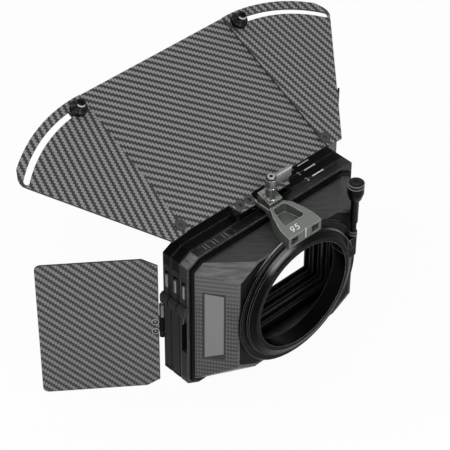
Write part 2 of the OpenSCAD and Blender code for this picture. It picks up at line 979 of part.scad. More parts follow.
// Fixed half of a side hinge, screwed to the front of the box
module side_hinge() {
  rows = [[barrel_low, knuckle_low - knuckle_gap], [knuckle_top + knuckle_gap, barrel_top]];
  difference() {
    union() {
      translate([side_plate_x, box_front, barrel_low])
        cube([side_pin_x - 2.3 - side_plate_x, side_plate_t, barrel_top - barrel_low]);
      for (z = rows) {
        translate([side_pin_x, side_pin_y, z[0]])
          cylinder(r = barrel_r, h = z[1] - z[0]);
        translate([side_pin_x - 4, box_front, z[0]])
          cube([4, side_pin_y - box_front, z[1] - z[0]]);
      }
    }
    translate([side_pin_x, side_pin_y, barrel_low - 1])
      cylinder(r = side_pin_r, h = barrel_top - barrel_low + 2);
    for (z = side_plate_screw_z)
      translate([side_plate_screw_x, box_front - 1, z])
        rotate([-90, 0, 0])
          cylinder(r = 1, h = 5);
  }
}

module right_hinge() {
  color("#1a1b1d")
    side_hinge();
}

module left_hinge() {
  color("#1a1b1d")
    mirror([1, 0, 0])
      side_hinge();
}

module side_pin() {
  translate([side_pin_x, side_pin_y, barrel_low - 0.3])
    cylinder(r = side_pin_r, h = barrel_top - barrel_low + 0.6);
}

module right_pin() {
  color("#9b9c9e")
    side_pin();
}

module left_pin() {
  color("#9b9c9e")
    mirror([1, 0, 0])
      side_pin();
}

module hinge_screws() {
  color("#4a4b4e")
    for (s = [-1, 1], z = side_plate_screw_z)
      translate([s * side_plate_screw_x, box_front, z])
        rotate([-90, 0, 0])
          difference() {
            union() {
              translate([0, 0, -side_plate_bite])
                cylinder(r = 1, h = side_plate_bite + 0.2 + side_plate_t);
              translate([0, 0, side_plate_t])
                cylinder(r = 1.9, h = 1);
            }
            translate([0, 0, side_plate_t + 0.4])
              cylinder(r = 0.9, h = 2, $fn = 6);
          }
}

// Four long screws that hold the stages together
module tie_screws() {
  color("#4a4b4e")
    at_ties()
      difference() {
        union() {
          translate([0, 0, box_rear + 1.2])
            cylinder(r = tie_r, h = box_front - box_rear - 3.4);
          translate([0, 0, box_front - tie_head_deep])
            cylinder(r = tie_head_r, h = tie_head_deep - 0.2);
        }
        translate([0, 0, box_front - 1.4])
          cylinder(r = 1.5, h = 3, $fn = 6);
      }
}

// Curved steel spring on the front wall of the rear slot
module leaf_spring() {
  wall = stage_mid(3) + slot_t / 2;
  color("#c4c5c7")
    translate([-half_w + 1.2, wall, -2.5])
      intersection() {
        translate([0, -1.2, -5])
          cube([4, 1.2, 10]);
        translate([0, 8, 0])
          rotate([0, 90, 0])
            difference() {
              cylinder(r = 9, h = 4);
              translate([0, 0, -1])
                cylinder(r = 8.6, h = 6);
            }
      }
}

// Tray in stage n, with its end plate and latch slot on the left
module tray(n) {
  mid = stage_mid(n);
  difference() {
    translate([-half_w, mid - tray_t / 2, tray_low])
      cube([half_w + tray_reach, tray_t, tray_h]);
    slab(mid - tray_t, mid + tray_t)
      window_2d(-1);
    translate([-filter_w / 2, mid - filter_t / 2, tray_mid - filter_h / 2])
      cube([filter_w, tray_t, filter_h]);
    translate([-half_w - 1, mid - latch_w / 2, latch_slot_low])
      cube([10, latch_w, latch_slot_h]);
    translate([latch_x, mid - tray_t, latch_z])
      rotate([-90, 0, 0])
        cylinder(r = latch_pin_r, h = 2 * tray_t);
  }
}

module tray_1() {
  color("#202124")
    tray(1);
}

module tray_2() {
  color("#202124")
    tray(2);
}

// The rear tray's end is cut away as a finger recess
module tray_3() {
  color("#202124")
    difference() {
      tray(3);
      translate([-half_w - 1, stage_mid(3) - tray_t, recess_low])
        cube([recess_deep + 1, 2 * tray_t, recess_h]);
    }
}

module latch_pin(n) {
  color("#8e8f92")
    translate([latch_x, stage_mid(n) - tray_t / 2, latch_z])
      rotate([-90, 0, 0])
        cylinder(r = latch_pin_r, h = tray_t);
}

module latch_pin_1() {
  latch_pin(1);
}

module latch_pin_2() {
  latch_pin(2);
}

module latch_pin_3() {
  latch_pin(3);
}

// Finger lever of a tray latch, side view in X and Z
module finger(n) {
  w = latch_w - 0.4;
  face = -half_w;
  color("#2a2b2e")
    translate([0, stage_mid(n), 0])
      difference() {
        union() {
          translate([0, w / 2, 0])
            rotate([90, 0, 0])
              linear_extrude(w)
                polygon([[face - 0.6, 20.6], [face - 0.6, 9], [face + 3, 14], [face + 6, 20],
                  [face + 6, 30], [face + 1.6, 30], [face + 1.6, 24.2], [face - 0.6, 24.2]]);
          translate([0, pad_w / 2, 0])
            rotate([90, 0, 0])
              linear_extrude(pad_w)
                polygon([[face - 0.4, 17.4], [face - 1.8, 17.4], [face - pad_reach, 15.6],
                  [face - pad_reach, 8.4], [face - pad_reach + 1.2, 7.2], [face - 0.4, 9.6]]);
        }
        translate([latch_x, -tray_t, latch_z])
          rotate([-90, 0, 0])
            cylinder(r = latch_pin_r + run, h = 2 * tray_t);
      }
}

module finger_1() {
  finger(1);
}

module finger_2() {
  finger(2);
}

module finger_3() {
  finger(3);
}

// Bright catch plate riding on the finger lever
module catch_plate(n) {
  w = latch_w - 0.4;
  color("#d4d5d6")
    translate([-half_w, stage_mid(n), 0])
      intersection() {
        translate([-0.6, -w / 2, tab_bottom])
          cube([2.2, w, tab_top - tab_bottom]);
        translate([3.6, 0, tab_bottom - 1])
          cylinder(r = 4.2, h = 20);
      }
}

module catch_1() {
  catch_plate(1);
}

module catch_2() {
  catch_plate(2);
}

module catch_3() {
  catch_plate(3);
}

// Long thumb screw that closes the clamp ring
module clamp_screw() {
  color("#131416")
    translate([screw_x, screw_y, 0])
      difference() {
        union() {
          translate([0, 0, thread_low])
            cylinder(r = thread_r, h = shank_low + 1 - thread_low);
          translate([0, 0, collar_z[0]])
            cylinder(r = shank_r, h = collar_h);
          translate([0, 0, collar_z[1]])
            cylinder(r = shank_r - 0.3, h = collar_h);
          translate([0, 0, shank_low])
            cylinder(r = shank_r, h = clamp_knob_low + 1 - shank_low);
          translate([0, 0, clamp_knob_low])
            cylinder(r1 = 4.6, r2 = clamp_knob_r - 0.3, h = clamp_knob_mid - clamp_knob_low);
          translate([0, 0, clamp_knob_mid])
            cylinder(r = clamp_knob_r, h = clamp_knob_h);
        }
        for (z = clamp_groove_z)
          translate([0, 0, z])
            difference() {
              cylinder(r = clamp_knob_r + 1, h = 1.1);
              cylinder(r = clamp_knob_r - 0.8, h = 1.1);
            }
      }
}

// Ribbed slide in the top of the rear stage
module slide_lock() {
  color("#2c2d30")
    translate([slide_mid, stage_mid(3), box_top - 2]) {
      translate([-slide_len / 2, -slide_w / 2, 0])
        cube([slide_len, slide_w, 2]);
      for (x = [-9, 0, 10.5], k = [-1.5, 0, 1.5])
        translate([x + k - 0.35, -slide_w / 2 + 0.4, 1])
          cube([0.7, slide_w - 0.8, 1.5]);
    }
}

stage_front();
stage_middle();
stage_rear();
back_frame();
shell();
collar_plate();
clamp_ring();
arm();
arm_seat();
arm_screws();
lever_plate();
plate_screws();
lever_screw();
bracket_left();
bracket_right();
flag_pins();
label_left();
label_right();
left_hinge();
right_hinge();
left_pin();
right_pin();
hinge_screws();
tie_screws();
leaf_spring();
flag_panel();
flag_leaves();
flag_screws();
wing_pivots();
knob_washers();
left_wing();
right_wing();
left_knob();
right_knob();
left_flag();
left_leaf();
left_flag_screws();
right_flag();
right_leaf();
right_flag_screws();
tray_1();
tray_2();
tray_3();
latch_pin_1();
latch_pin_2();
latch_pin_3();
finger_1();
finger_2();
finger_3();
catch_1();
catch_2();
catch_3();
latch_lever();
clamp_screw();
slide_lock();
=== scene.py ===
"""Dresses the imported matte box: carbon sheets, black metal, knobs, marks and the studio."""
import math

import bpy
import numpy as np
from mathutils import Matrix


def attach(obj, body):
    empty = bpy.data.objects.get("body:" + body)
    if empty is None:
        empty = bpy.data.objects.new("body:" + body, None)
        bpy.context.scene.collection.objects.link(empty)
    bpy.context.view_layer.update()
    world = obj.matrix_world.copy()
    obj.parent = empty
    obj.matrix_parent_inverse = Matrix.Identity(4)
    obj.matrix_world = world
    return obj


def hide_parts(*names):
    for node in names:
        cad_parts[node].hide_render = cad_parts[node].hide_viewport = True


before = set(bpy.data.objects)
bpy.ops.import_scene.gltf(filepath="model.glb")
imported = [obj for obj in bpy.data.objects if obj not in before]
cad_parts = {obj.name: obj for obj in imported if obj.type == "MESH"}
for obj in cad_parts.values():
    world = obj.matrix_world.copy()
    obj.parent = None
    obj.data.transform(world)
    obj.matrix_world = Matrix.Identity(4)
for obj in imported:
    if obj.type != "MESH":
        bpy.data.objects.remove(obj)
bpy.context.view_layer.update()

bl_info = {
    "name": "Matte box dressing",
    "version": (1, 0, 0),
    "blender": (4, 5, 0),
    "location": "View3D > Sidebar > Matte box",
    "description": "Gives the matte box its sheets, metals, knobs, marks and studio",
    "category": "Object",
}

MM = 0.001
SHARP_ANGLE = math.radians(35.0)
RIGHT = np.array([1.0, 0.0, 0.0])
FORWARD = np.array([0.0, 1.0, 0.0])
UP = np.array([0.0, 0.0, 1.0])

# Sizes in mm, as in the part's source.
# Top flag: tilt, middle between the wing pivots, axes up the sheet and out of it, slots, knobs and tabs
TILT = math.radians(26.4)
FLAG_ORIGIN = np.array([0.0, 58.4, 79.4])
FLAG_UP = np.array([0.0, math.cos(TILT), math.sin(TILT)])
FLAG_OUT = np.array([0.0, -math.sin(TILT), math.cos(TILT)])
PIVOT_X = 77.5
SLOT_R = 120.2
KNOB_TURN = math.radians(3.4)
WING_SWING = math.radians(34.0)
TAB_SCREWS = ((-23.2, 4.3), (-13.6, 4.3), (13.6, 2.9), (23.2, 2.9))
TAB_SCREW_UP = -10.4
# Side flags: swing at rest, hinge pin, knuckles on it, middle of the two screws and the step between them
SIDE_SWING = math.radians(37.7)
HINGE_PIN = np.array([88.9, 67.5, 0.0])
KNUCKLES = ((-34.0, -28.7), (-12.3, 0.6))
FLAG_SCREW = np.array([95.35, 68.31, 20.5])
FLAG_SCREW_STEP = 9.8
# Filter box: top face, joints between the stages, middle of the rear one, ribs of the slide
BOX_TOP = 63.0
STAGE_SEAMS = (55.8, 46.25)
STAGE_PITCH = 9.55
REAR_STAGE_MID = 41.475
RIB_GROUPS = (-66.0, -57.0, -46.5)
RIB_OFF = 1.5
# Shell: middle and half size of the label plate, along the axis and up
LABEL_MID = (22.94, -2.05)
LABEL_HALF = (7.2, 34.9)
# Clamp: radius of the painted highlight on its cone, inner edge and flange; clamp screw; lever post and its top
CONE_R, STEP_R, FLANGE_R = 56.0, 56.9, 63.0
SCREW_AT = np.array([58.0, 3.7, 0.0])
POST_AT = np.array([0.0, 39.3, 0.0])
LEVER_TOP = 95.0
# Printed marks: digit and distance of each row, ends of its line, left side and height of the digits
MARK_ROWS = ((1, 62.7), (2, 55.2), (3, 45.9))
MARK_ENDS = (53.2, 64.0)
MARK_DIGIT_X = 46.2
MARK_DIGIT_HIGH = 3.4
PRINT_THICK = 0.04
PRINT_SUNK = 0.01


def grid_quads(rows, cols, wrap):
    """Quads between neighbouring points of a rows by cols grid; wrap joins the last column to the first."""
    r, c = np.meshgrid(np.arange(rows - 1), np.arange(cols if wrap else cols - 1), indexing="ij")
    n = (c + 1) % cols
    return np.stack([r * cols + c, r * cols + n, (r + 1) * cols + n, (r + 1) * cols + c], -1).reshape(-1, 4)


def closed_rings(rings):
    """Points and faces of a closed skin over rings (rows, cols, 3): quads between rings, and a fan to each end
    ring's middle."""
    rows, cols = rings.shape[:2]
    points = np.concatenate([rings.reshape(-1, 3), rings[0].mean(0)[None], rings[-1].mean(0)[None]])
    k = np.arange(cols)
    n = (k + 1) % cols
    first, last = rows * cols, rows * cols + 1
    base = (rows - 1) * cols
    fans = [np.stack([n, k, np.full(cols, first)], -1), np.stack([base + k, base + n, np.full(cols, last)], -1)]
    return points, [grid_quads(rows, cols, True)] + fans


def turned(profile, sides, origin, e1, e2, axis, ripple=None):
    """A profile of (radius, height) turned about an axis: origin + r cos(t) e1 + r sin(t) e2 + h axis.
    ripple(t, h) is added to the radius, for knurls."""
    profile = np.asarray(profile, float)
    t = np.linspace(0, 2 * np.pi, sides, endpoint=False)[None, :]
    r, h = profile[:, :1], profile[:, 1:2]
    r = r + np.zeros_like(t)
    if ripple is not None:
        r = r + ripple(t, h)
    rings = (np.asarray(origin) + r[..., None] * (np.cos(t)[..., None] * e1 + np.sin(t)[..., None] * e2)
             + (h + np.zeros_like(t))[..., None] * axis)
    return closed_rings(rings)


def knurl(count, depth, low, high, fade, power=1.0):
    """Ripple of a knurl: the radius loses depth times half of (1 - cos(count t)), raised to power, between the
    heights low and high, and it sets in over fade."""
    def ripple(t, h):
        band = np.clip((h - low) / fade, 0, 1) * np.clip((high - h) / fade, 0, 1)
        return -depth * band * (0.5 - 0.5 * np.cos(count * t)) ** power

    return ripple


def bar(path, out, width, height):
    """A flat bar carried along a path on a face: each ring is the rectangle of width across the path and height
    along out."""
    path, out = np.asarray(path, float), np.asarray(out, float)
    step = np.gradient(path, axis=0)
    step /= np.linalg.norm(step, axis=1, keepdims=True)
    across = np.cross(step, out)
    across /= np.linalg.norm(across, axis=1, keepdims=True)
    corners = np.array([[-0.5, 0.0], [0.5, 0.0], [0.5, 1.0], [-0.5, 1.0]])
    rings = (path[:, None] + corners[None, :, :1] * width * across[:, None]
             + corners[None, :, 1:] * height * out[None, None])
    return closed_rings(rings)


def make_piece(name, shells, material, body, stands_for=()):
    """Puts closed shells of (points in mm, faces) into one mesh, turned to face outward, and rides it on its body."""
    points, faces, start = [], [], 0
    for p, groups in shells:
        tris = np.concatenate([g[:, :3] for g in groups] + [g[:, [0, 2, 3]] for g in groups if g.shape[1] == 4])
        volume = np.einsum("ij,ij->", p[tris[:, 0]], np.cross(p[tris[:, 1]], p[tris[:, 2]]))
        for g in groups:
            faces.extend((start + (g[:, ::-1] if volume < 0 else g)).tolist())
        points.append(p)
        start += len(p)
    mesh = bpy.data.meshes.new(name)
    mesh.from_pydata((np.concatenate(points) * MM).tolist(), [], faces)
    mesh.update()
    mesh.polygons.foreach_set("use_smooth", np.ones(len(mesh.polygons), bool))
    mesh.set_sharp_from_angle(angle=SHARP_ANGLE)
    mesh.materials.append(material)
    piece = bpy.data.objects.new(name, mesh)
    bpy.context.scene.collection.objects.link(piece)
    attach(piece, body)
    if stands_for:
        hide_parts(*stands_for)
    return piece


def dress(material, *nodes):
    """Gives CAD nodes a material in every slot they have."""
    for node in nodes:
        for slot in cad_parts[node].material_slots:
            slot.material = material


class Net:
    """Adds nodes to a node tree and joins them. Values may be sockets, nodes or plain numbers."""

    def __init__(self, tree):
        self.tree = tree
        self.count = 0

    def join(self, value, socket):
        if isinstance(value, bpy.types.Node):
            value = value.outputs[0]
        if isinstance(value, bpy.types.NodeSocket):
            self.tree.links.new(value, socket)
        elif value is not None:
            socket.default_value = value

    def add(self, kind, inputs=None, **settings):
        node = self.tree.nodes.new("ShaderNode" + kind)
        node.location = (-220 * (12 - self.count % 12), -260 * (self.count // 12))
        self.count += 1
        for key, value in settings.items():
            setattr(node, key, value)
        for key, value in (inputs or {}).items():
            self.join(value, node.inputs[key])
        return node

    def math(self, operation, a, b=0.0, c=0.0):
        return self.add("Math", {0: a, 1: b, 2: c}, operation=operation).outputs[0]

    def times(self, a, b):
        return self.math("MULTIPLY", a, b)

    def most(self, first, *others):
        """The greatest of several values."""
        for other in others:
            first = self.math("MAXIMUM", first, other)
        return first

    def vector(self, operation, a, b=(0, 0, 0), out=0):
        return self.add("VectorMath", {0: a, 1: b}, operation=operation).outputs[out]

    def dot(self, vector, axis):
        """How far a vector reaches along a fixed axis."""
        return self.vector("DOT_PRODUCT", vector, tuple(axis), out=1)

    def length(self, vector, axes=(1.0, 1.0, 1.0)):
        """Length of a vector, of which only the marked axes count."""
        return self.vector("LENGTH", self.vector("MULTIPLY", vector, axes), out=1)

    def split(self, vector):
        """The x, y and z of a vector."""
        return self.add("SeparateXYZ", {0: vector}).outputs

    def normal(self):
        """The face's own normal, in the piece's axes."""
        return self.add("TexCoord").outputs["Normal"]

    def mix(self, factor, a, b):
        return self.add("Mix", {0: factor, 6: a, 7: b}, data_type="RGBA").outputs[2]

    def blend(self, factor, a, b):
        return self.add("Mix", {0: factor, 2: a, 3: b}, data_type="FLOAT").outputs[0]

    def ramp(self, value, low, high):
        """0 up to low and 1 from high on, smooth between them; low may be the greater."""
        return self.add("MapRange", {"Value": value, "From Min": low, "From Max": high},
                        interpolation_type="SMOOTHSTEP").outputs[0]

    def near(self, value, middle, inner, outer):
        """1 where value lies within inner of middle, 0 past outer."""
        return self.ramp(self.math("ABSOLUTE", self.math("SUBTRACT", value, middle)), outer, inner)

    def noise(self, vector, scale, detail=3.0, roughness=0.55):
        return self.add("TexNoise", {"Vector": vector, "Scale": scale, "Detail": detail,
                                     "Roughness": roughness}).outputs["Fac"]


def effect(name, inputs, outputs, build):
    """Makes a shader node group once: inputs and outputs are (name, kind, default), and build(net, ins) returns the
    outputs."""
    if name in bpy.data.node_groups:
        return bpy.data.node_groups[name]
    tree = bpy.data.node_groups.new(name, "ShaderNodeTree")
    for label, kind, default in inputs:
        socket = tree.interface.new_socket(label, in_out="INPUT", socket_type="NodeSocket" + kind)
        if default is not None:
            socket.default_value = default
    for label, kind in outputs:
        tree.interface.new_socket(label, in_out="OUTPUT", socket_type="NodeSocket" + kind)
    net = Net(tree)
    source = tree.nodes.new("NodeGroupInput")
    source.location = (-3000, 0)
    target = tree.nodes.new("NodeGroupOutput")
    target.location = (200, 0)
    for label, value in build(net, source.outputs).items():
        net.join(value, target.inputs[label])
    return tree


def use(net, tree, **values):
    """Places an effect in a material; underscores in names stand for spaces."""
    node = net.add("Group")
    node.node_tree = tree
    for key, value in values.items():
        net.join(value, node.inputs[key.replace("_", " ")])
    return node.outputs


def weave_effect():
    """Cloth of flat tows. A and B count tows across and along. The warp lies on top where floor(A) + floor(B)
    modulo Repeat is under Float; the height of each tow is 1 - (2 f - 1)^2 over its own width f."""
    def build(net, i):
        a, b = i["A"], i["B"]
        cells = net.math("ADD", net.math("FLOOR", a), net.math("FLOOR", b))
        left = net.math("FLOORED_MODULO", cells, i["Repeat"])
        warp = net.math("LESS_THAN", left, net.math("SUBTRACT", i["Float"], 0.5))

        def crown(value):
            f = net.math("MULTIPLY_ADD", net.math("FRACT", value), 2.0, -1.0)
            return net.math("SUBTRACT", 1.0, net.times(f, f))

        height = net.blend(warp, crown(b), crown(a))
        along_warp = net.add("CombineXYZ", {0: net.times(a, 9.0), 1: net.times(b, 0.35)})
        along_weft = net.add("CombineXYZ", {0: net.times(a, 0.35), 1: net.times(b, 9.0)})
        streak = net.blend(warp, net.noise(along_weft, 1.0, 2.0), net.noise(along_warp, 1.0, 2.0))
        return {"Warp": warp, "Height": height, "Streak": streak}

    return effect("Woven tows", [("A", "Float", 0.0), ("B", "Float", 0.0), ("Repeat", "Float", 4.0),
                                 ("Float", "Float", 2.0)],
                  [("Warp", "Float"), ("Height", "Float"), ("Streak", "Float")], build)


def edge_effect():
    """Soft edges: a normal rounded over Radius, and a mask where it leaves the face's own normal."""
    def build(net, i):
        soft = net.add("Bevel", {"Radius": i["Radius"]}, samples=6)
        own = net.add("NewGeometry").outputs["Normal"]
        mask = net.ramp(net.vector("DOT_PRODUCT", soft, own, out=1), 0.995, 0.86)
        edge_sheen_and_wear = net.times(mask, net.ramp(net.noise(i["Vector"], 260.0, 4.0), 0.38, 0.62))
        return {"Normal": soft.outputs[0], "Edge": mask, "Wear": edge_sheen_and_wear}

    return effect("Soft edges", [("Vector", "Vector", None), ("Radius", "Float", 0.0004)],
                  [("Normal", "Vector"), ("Edge", "Float"), ("Wear", "Float")], build)


def grain_effect():
    """Fine grain and slow cloudiness of an anodised or moulded face, both around 0.5."""
    def build(net, i):
        fine = net.noise(net.vector("MULTIPLY", i["Vector"], i["Stretch"]), 2600.0, 2.0, 0.6)
        return {"Fine": fine, "Slow": net.noise(i["Vector"], 22.0, 3.0, 0.5)}

    return effect("Face grain", [("Vector", "Vector", None), ("Stretch", "Vector", (1.0, 1.0, 1.0))],
                  [("Fine", "Float"), ("Slow", "Float")], build)


def new_finish(name, **sockets):
    """A material with a Principled shader, whose constant sockets are set here."""
    material = bpy.data.materials.new(name)
    material.use_nodes = True
    net = Net(material.node_tree)
    shader = material.node_tree.nodes["Principled BSDF"]
    for key, value in sockets.items():
        shader.inputs[key.replace("_", " ")].default_value = value
    return material, net, shader, net.add("TexCoord").outputs["Object"]


def grey(value, tint=(1.0, 1.0, 1.0)):
    """Linear colour of a grey written as 0 to 255 on the screen."""
    v = value / 255
    v = v / 12.92 if v <= 0.04045 else ((v + 0.055) / 1.055) ** 2.4
    return (v * tint[0], v * tint[1], v * tint[2], 1.0)


def carbon_sheet(name, across, along, out, settings, contrast=1.0, tone=1.0, gloss=0.2):
    """Twill sheet under a thin clear coat: across and along are the weave's axes on the sheet, in tows per metre.
    contrast scales the step from dark to light tows, and tone both; the cut edge shows its layers."""
    material, net, shader, spot = new_finish(name, Coat_Weight=gloss * 0.3, Coat_Roughness=0.3,
                                             Specular_IOR_Level=gloss)
    weave = use(net, weave_effect(), A=net.dot(spot, across), B=net.dot(spot, along))
    crown = net.math("MULTIPLY_ADD", weave["Height"], 0.45, 0.62)
    shade = net.times(net.math("MULTIPLY_ADD", weave["Streak"], 0.7, 0.65), crown)
    dark, light = np.asarray(settings.tow_dark), np.asarray(settings.tow_light)
    dark, light = dark * tone, (dark + (light - dark) * contrast) * tone
    tows = net.mix(weave["Warp"], tuple(dark) + (1.0,), tuple(light) + (1.0,))
    cloth = net.add("VectorMath", {0: tows, "Scale": shade}, operation="SCALE")
    rim = net.ramp(net.math("ABSOLUTE", net.dot(net.normal(), out)), 0.9, 0.5)
    layers = net.math("FRACT", net.dot(spot, np.asarray(out) * 3500))
    edge = use(net, edge_effect(), Vector=spot, Radius=0.0003)
    colour = net.mix(rim, cloth, net.mix(layers, grey(34), grey(66)))
    colour = net.mix(net.times(edge["Wear"], 0.4), colour, grey(120))
    net.join(colour, shader.inputs["Base Color"])
    net.join(net.blend(rim, net.blend(weave["Warp"], 0.5, 0.42), 0.7), shader.inputs["Roughness"])
    height = net.math("MULTIPLY_ADD", weave["Streak"], 0.25, weave["Height"])
    bump = net.add("Bump", {"Strength": 0.25, "Distance": 0.00012, "Height": height, "Normal": edge["Normal"]})
    net.join(bump, shader.inputs["Normal"])
    return material


def shell_finish(settings):
    """Moulded carbon shell: rows of short tows on the left side, long streaks on its cut corner, the same painted
    darker on the right side as painted shade, and a faint slanting weave on the flat top, also painted darker as
    painted shade. Its edges carry a painted highlight, stronger on the left, and the shell under and just round each
    label plate is painted dark as a painted shadow line."""
    material, net, shader, spot = new_finish("shell carbon", Coat_Weight=0.06, Coat_Roughness=0.3,
                                             Specular_IOR_Level=0.22)
    x, y, z = net.split(spot)
    lift = net.math("ABSOLUTE", net.split(net.normal())[2])
    lit = net.ramp(x, 0.001, -0.001)
    side, corner = net.ramp(lift, 0.97, 0.8), net.ramp(lift, 0.25, 0.5)
    wander = net.times(net.math("SUBTRACT", net.noise(spot, 90.0, 2.0), 0.5), 2.4)

    def wave(value, pitch):
        turns = net.times(value, 2 * math.pi / (pitch * MM))
        return net.math("MULTIPLY_ADD", net.math("SINE", net.math("ADD", turns, wander)), 0.5, 0.5)

    rows = net.math("POWER", wave(z, settings.tow_width * 2.1), 0.7)
    cells = wave(y, settings.tow_width * 0.93)
    low = net.ramp(z, 0.04, 0.01)
    dashes = net.times(rows, net.blend(low, net.math("MULTIPLY_ADD", cells, 0.2, 0.7),
                                       net.math("MULTIPLY_ADD", cells, 0.75, 0.25)))
    long = net.noise(net.vector("MULTIPLY", spot, (60.0, 60.0, 1100.0)), 1.0, 3.0)
    tone = net.math("ADD", net.times(dashes, 0.8), net.math("MULTIPLY_ADD", long, 0.5, -0.15))
    cloth = net.mix(tone, net.mix(low, grey(60), grey(34)), net.mix(low, grey(100), grey(98)))
    folded = net.mix(net.ramp(long, 0.3, 0.7), grey(62), grey(96))
    # Painted shadow line: the shell under and just round each label plate turns dark grey.
    label_shade_band = [net.near(value, middle * MM, (half - 0.3) * MM, (half + 0.3) * MM)
              for value, middle, half in zip((y, z), LABEL_MID, LABEL_HALF)]
    cloth = net.mix(net.times(*label_shade_band), cloth, grey(38))
    slanted = net.add("Mapping", {"Vector": spot, "Rotation": (0.0, 0.0, math.radians(43.0))}).outputs[0]
    streaks = net.noise(net.vector("MULTIPLY", slanted, (90.0, 520.0, 90.0)), 1.0, 3.0)
    # The flat top's colour is painted darker than the sides, as painted shade.
    flat = net.mix(net.ramp(streaks, 0.3, 0.7), grey(43), grey(57))
    edge = use(net, edge_effect(), Vector=spot, Radius=0.0006)
    # Painted shade: right of the middle, the cloth and the cut corner are scaled down to about a third.
    shaded = net.add("VectorMath", {0: net.mix(corner, cloth, folded), "Scale": net.blend(lit, 0.32, 1.0)},
                     operation="SCALE")
    colour = net.mix(side, flat, shaded)
    # Painted highlight on the edges, stronger on the left side.
    colour = net.mix(net.times(edge["Edge"], net.blend(lit, 0.12, 0.4)), colour, grey(128))
    net.join(colour, shader.inputs["Base Color"])
    net.join(net.blend(side, 0.42, 0.5), shader.inputs["Roughness"])
    bump = net.add("Bump", {"Strength": 0.2, "Distance": 0.0001, "Height": net.times(dashes, side),
                            "Normal": edge["Normal"]})
    net.join(bump, shader.inputs["Normal"])
    return material


def metal_finish(name, tone, tint=(1.0, 1.0, 1.0), metallic=0.0, roughness=0.4, radius=0.0004, painted_edge_tone=110,
                 edge_sheen_and_wear=0.25, stretch=(1.0, 1.0, 1.0), spread=0.18, gloss=0.5, accents=()):
    """Anodised, blackened or bare metal: cloudy tone, fine grain in roughness and bump, and every edge painted toward
    the edge grey: a painted highlight where that grey is lighter than the face, painted shade where it is darker,
    with worn patches. accents are pairs of a mask(net, spot) and the grey it paints there, such as painted shade in a
    socket or a painted highlight on a rib."""
    material, net, shader, spot = new_finish(name, Specular_IOR_Level=gloss, Metallic=metallic)
    grain = use(net, grain_effect(), Vector=spot, Stretch=stretch)
    edge = use(net, edge_effect(), Vector=spot, Radius=radius)
    cloud = net.math("MULTIPLY_ADD", grain["Fine"], 0.35, net.times(grain["Slow"], 0.65))
    colour = net.mix(cloud, grey(tone * (1 - spread), tint), grey(tone * (1 + spread), tint))
    # Edges painted toward the edge grey (painted highlight when lighter, painted shade when darker), with worn
    # patches.
    edge_highlight_and_wear = net.math("MULTIPLY_ADD", edge["Edge"], edge_sheen_and_wear * 0.6, net.times(edge["Wear"], edge_sheen_and_wear * 0.6))
    colour = net.mix(edge_highlight_and_wear, colour, grey(painted_edge_tone, tint))
    for mask, accent in accents:
        colour = net.mix(mask(net, spot), colour, grey(accent, tint))
    net.join(colour, shader.inputs["Base Color"])
    net.join(net.math("MULTIPLY_ADD", grain["Fine"], 0.2, roughness - 0.1), shader.inputs["Roughness"])
    bump = net.add("Bump", {"Strength": 0.15, "Distance": 0.00005, "Height": grain["Fine"], "Normal": edge["Normal"]})
    net.join(bump, shader.inputs["Normal"])
    return material


def ring_finish(name, tone, painted_edge_tone, accents):
    """Turned metal: fine tool rings about the optical axis, from the sine of radius plus depth. Its edges get a
    painted highlight in the edge grey, and the accents add painted highlights.
    """
    tool_pitch = 0.35
    material, net, shader, spot = new_finish(name, Specular_IOR_Level=0.04)
    reach = net.length(spot, (1.0, 0.0, 1.0))
    path = net.math("ADD", reach, net.split(spot)[1])
    ring = net.math("SINE", net.times(path, 2 * math.pi / (tool_pitch * MM)))
    grain = use(net, grain_effect(), Vector=spot)
    edge = use(net, edge_effect(), Vector=spot, Radius=0.0006)
    colour = net.mix(grain["Slow"], grey(tone * 0.8), grey(tone * 1.2))
    colour = net.mix(net.math("MULTIPLY_ADD", ring, 0.1, 0.1), colour, grey(tone * 1.8))
    # Painted highlight along the ring's edges.
    colour = net.mix(net.times(edge["Edge"], 0.6), colour, grey(painted_edge_tone))
    for mask, accent in accents:
        colour = net.mix(mask(net, spot), colour, grey(accent))
    net.join(colour, shader.inputs["Base Color"])
    net.join(net.math("MULTIPLY_ADD", grain["Fine"], 0.15, 0.15), shader.inputs["Roughness"])
    bump = net.add("Bump", {"Strength": 0.35, "Distance": 0.00004, "Height": ring, "Normal": edge["Normal"]})
    net.join(bump, shader.inputs["Normal"])
    return material


def paint_finish(name, tone):
    """Printed white or grey marks with a slightly uneven print."""
    material, net, shader, spot = new_finish(name, Specular_IOR_Level=0.3)
    blot = net.noise(spot, 1800.0, 3.0)
    net.join(net.mix(net.ramp(blot, 0.3, 0.55), grey(tone * 0.85), grey(tone)), shader.inputs["Base Color"])
    net.join(net.math("MULTIPLY_ADD", blot, 0.2, 0.45), shader.inputs["Roughness"])
    bump = net.add("Bump", {"Strength": 0.1, "Distance": 0.00003, "Height": blot})
    net.join(bump, shader.inputs["Normal"])
    return material


def rubber_finish(name, tone):
    """Matte moulded plastic or rubber with a leathery grain."""
    material, net, shader, spot = new_finish(name, Specular_IOR_Level=0.3)
    cells = net.add("TexVoronoi", {"Vector": spot, "Scale": 1500.0}, feature="F1").outputs["Distance"]
    grain = use(net, grain_effect(), Vector=spot)
    edge = use(net, edge_effect(), Vector=spot, Radius=0.0005)
    colour = net.mix(grain["Slow"], grey(tone * 0.8), grey(tone * 1.25))
    colour = net.mix(net.times(edge["Wear"], 0.3), colour, grey(tone * 2.2))
    net.join(colour, shader.inputs["Base Color"])
    net.join(net.math("MULTIPLY_ADD", cells, 0.15, 0.6), shader.inputs["Roughness"])
    bump = net.add("Bump", {"Strength": 0.3, "Distance": 0.00006, "Height": cells, "Normal": edge["Normal"]})
    net.join(bump, shader.inputs["Normal"])
    return material


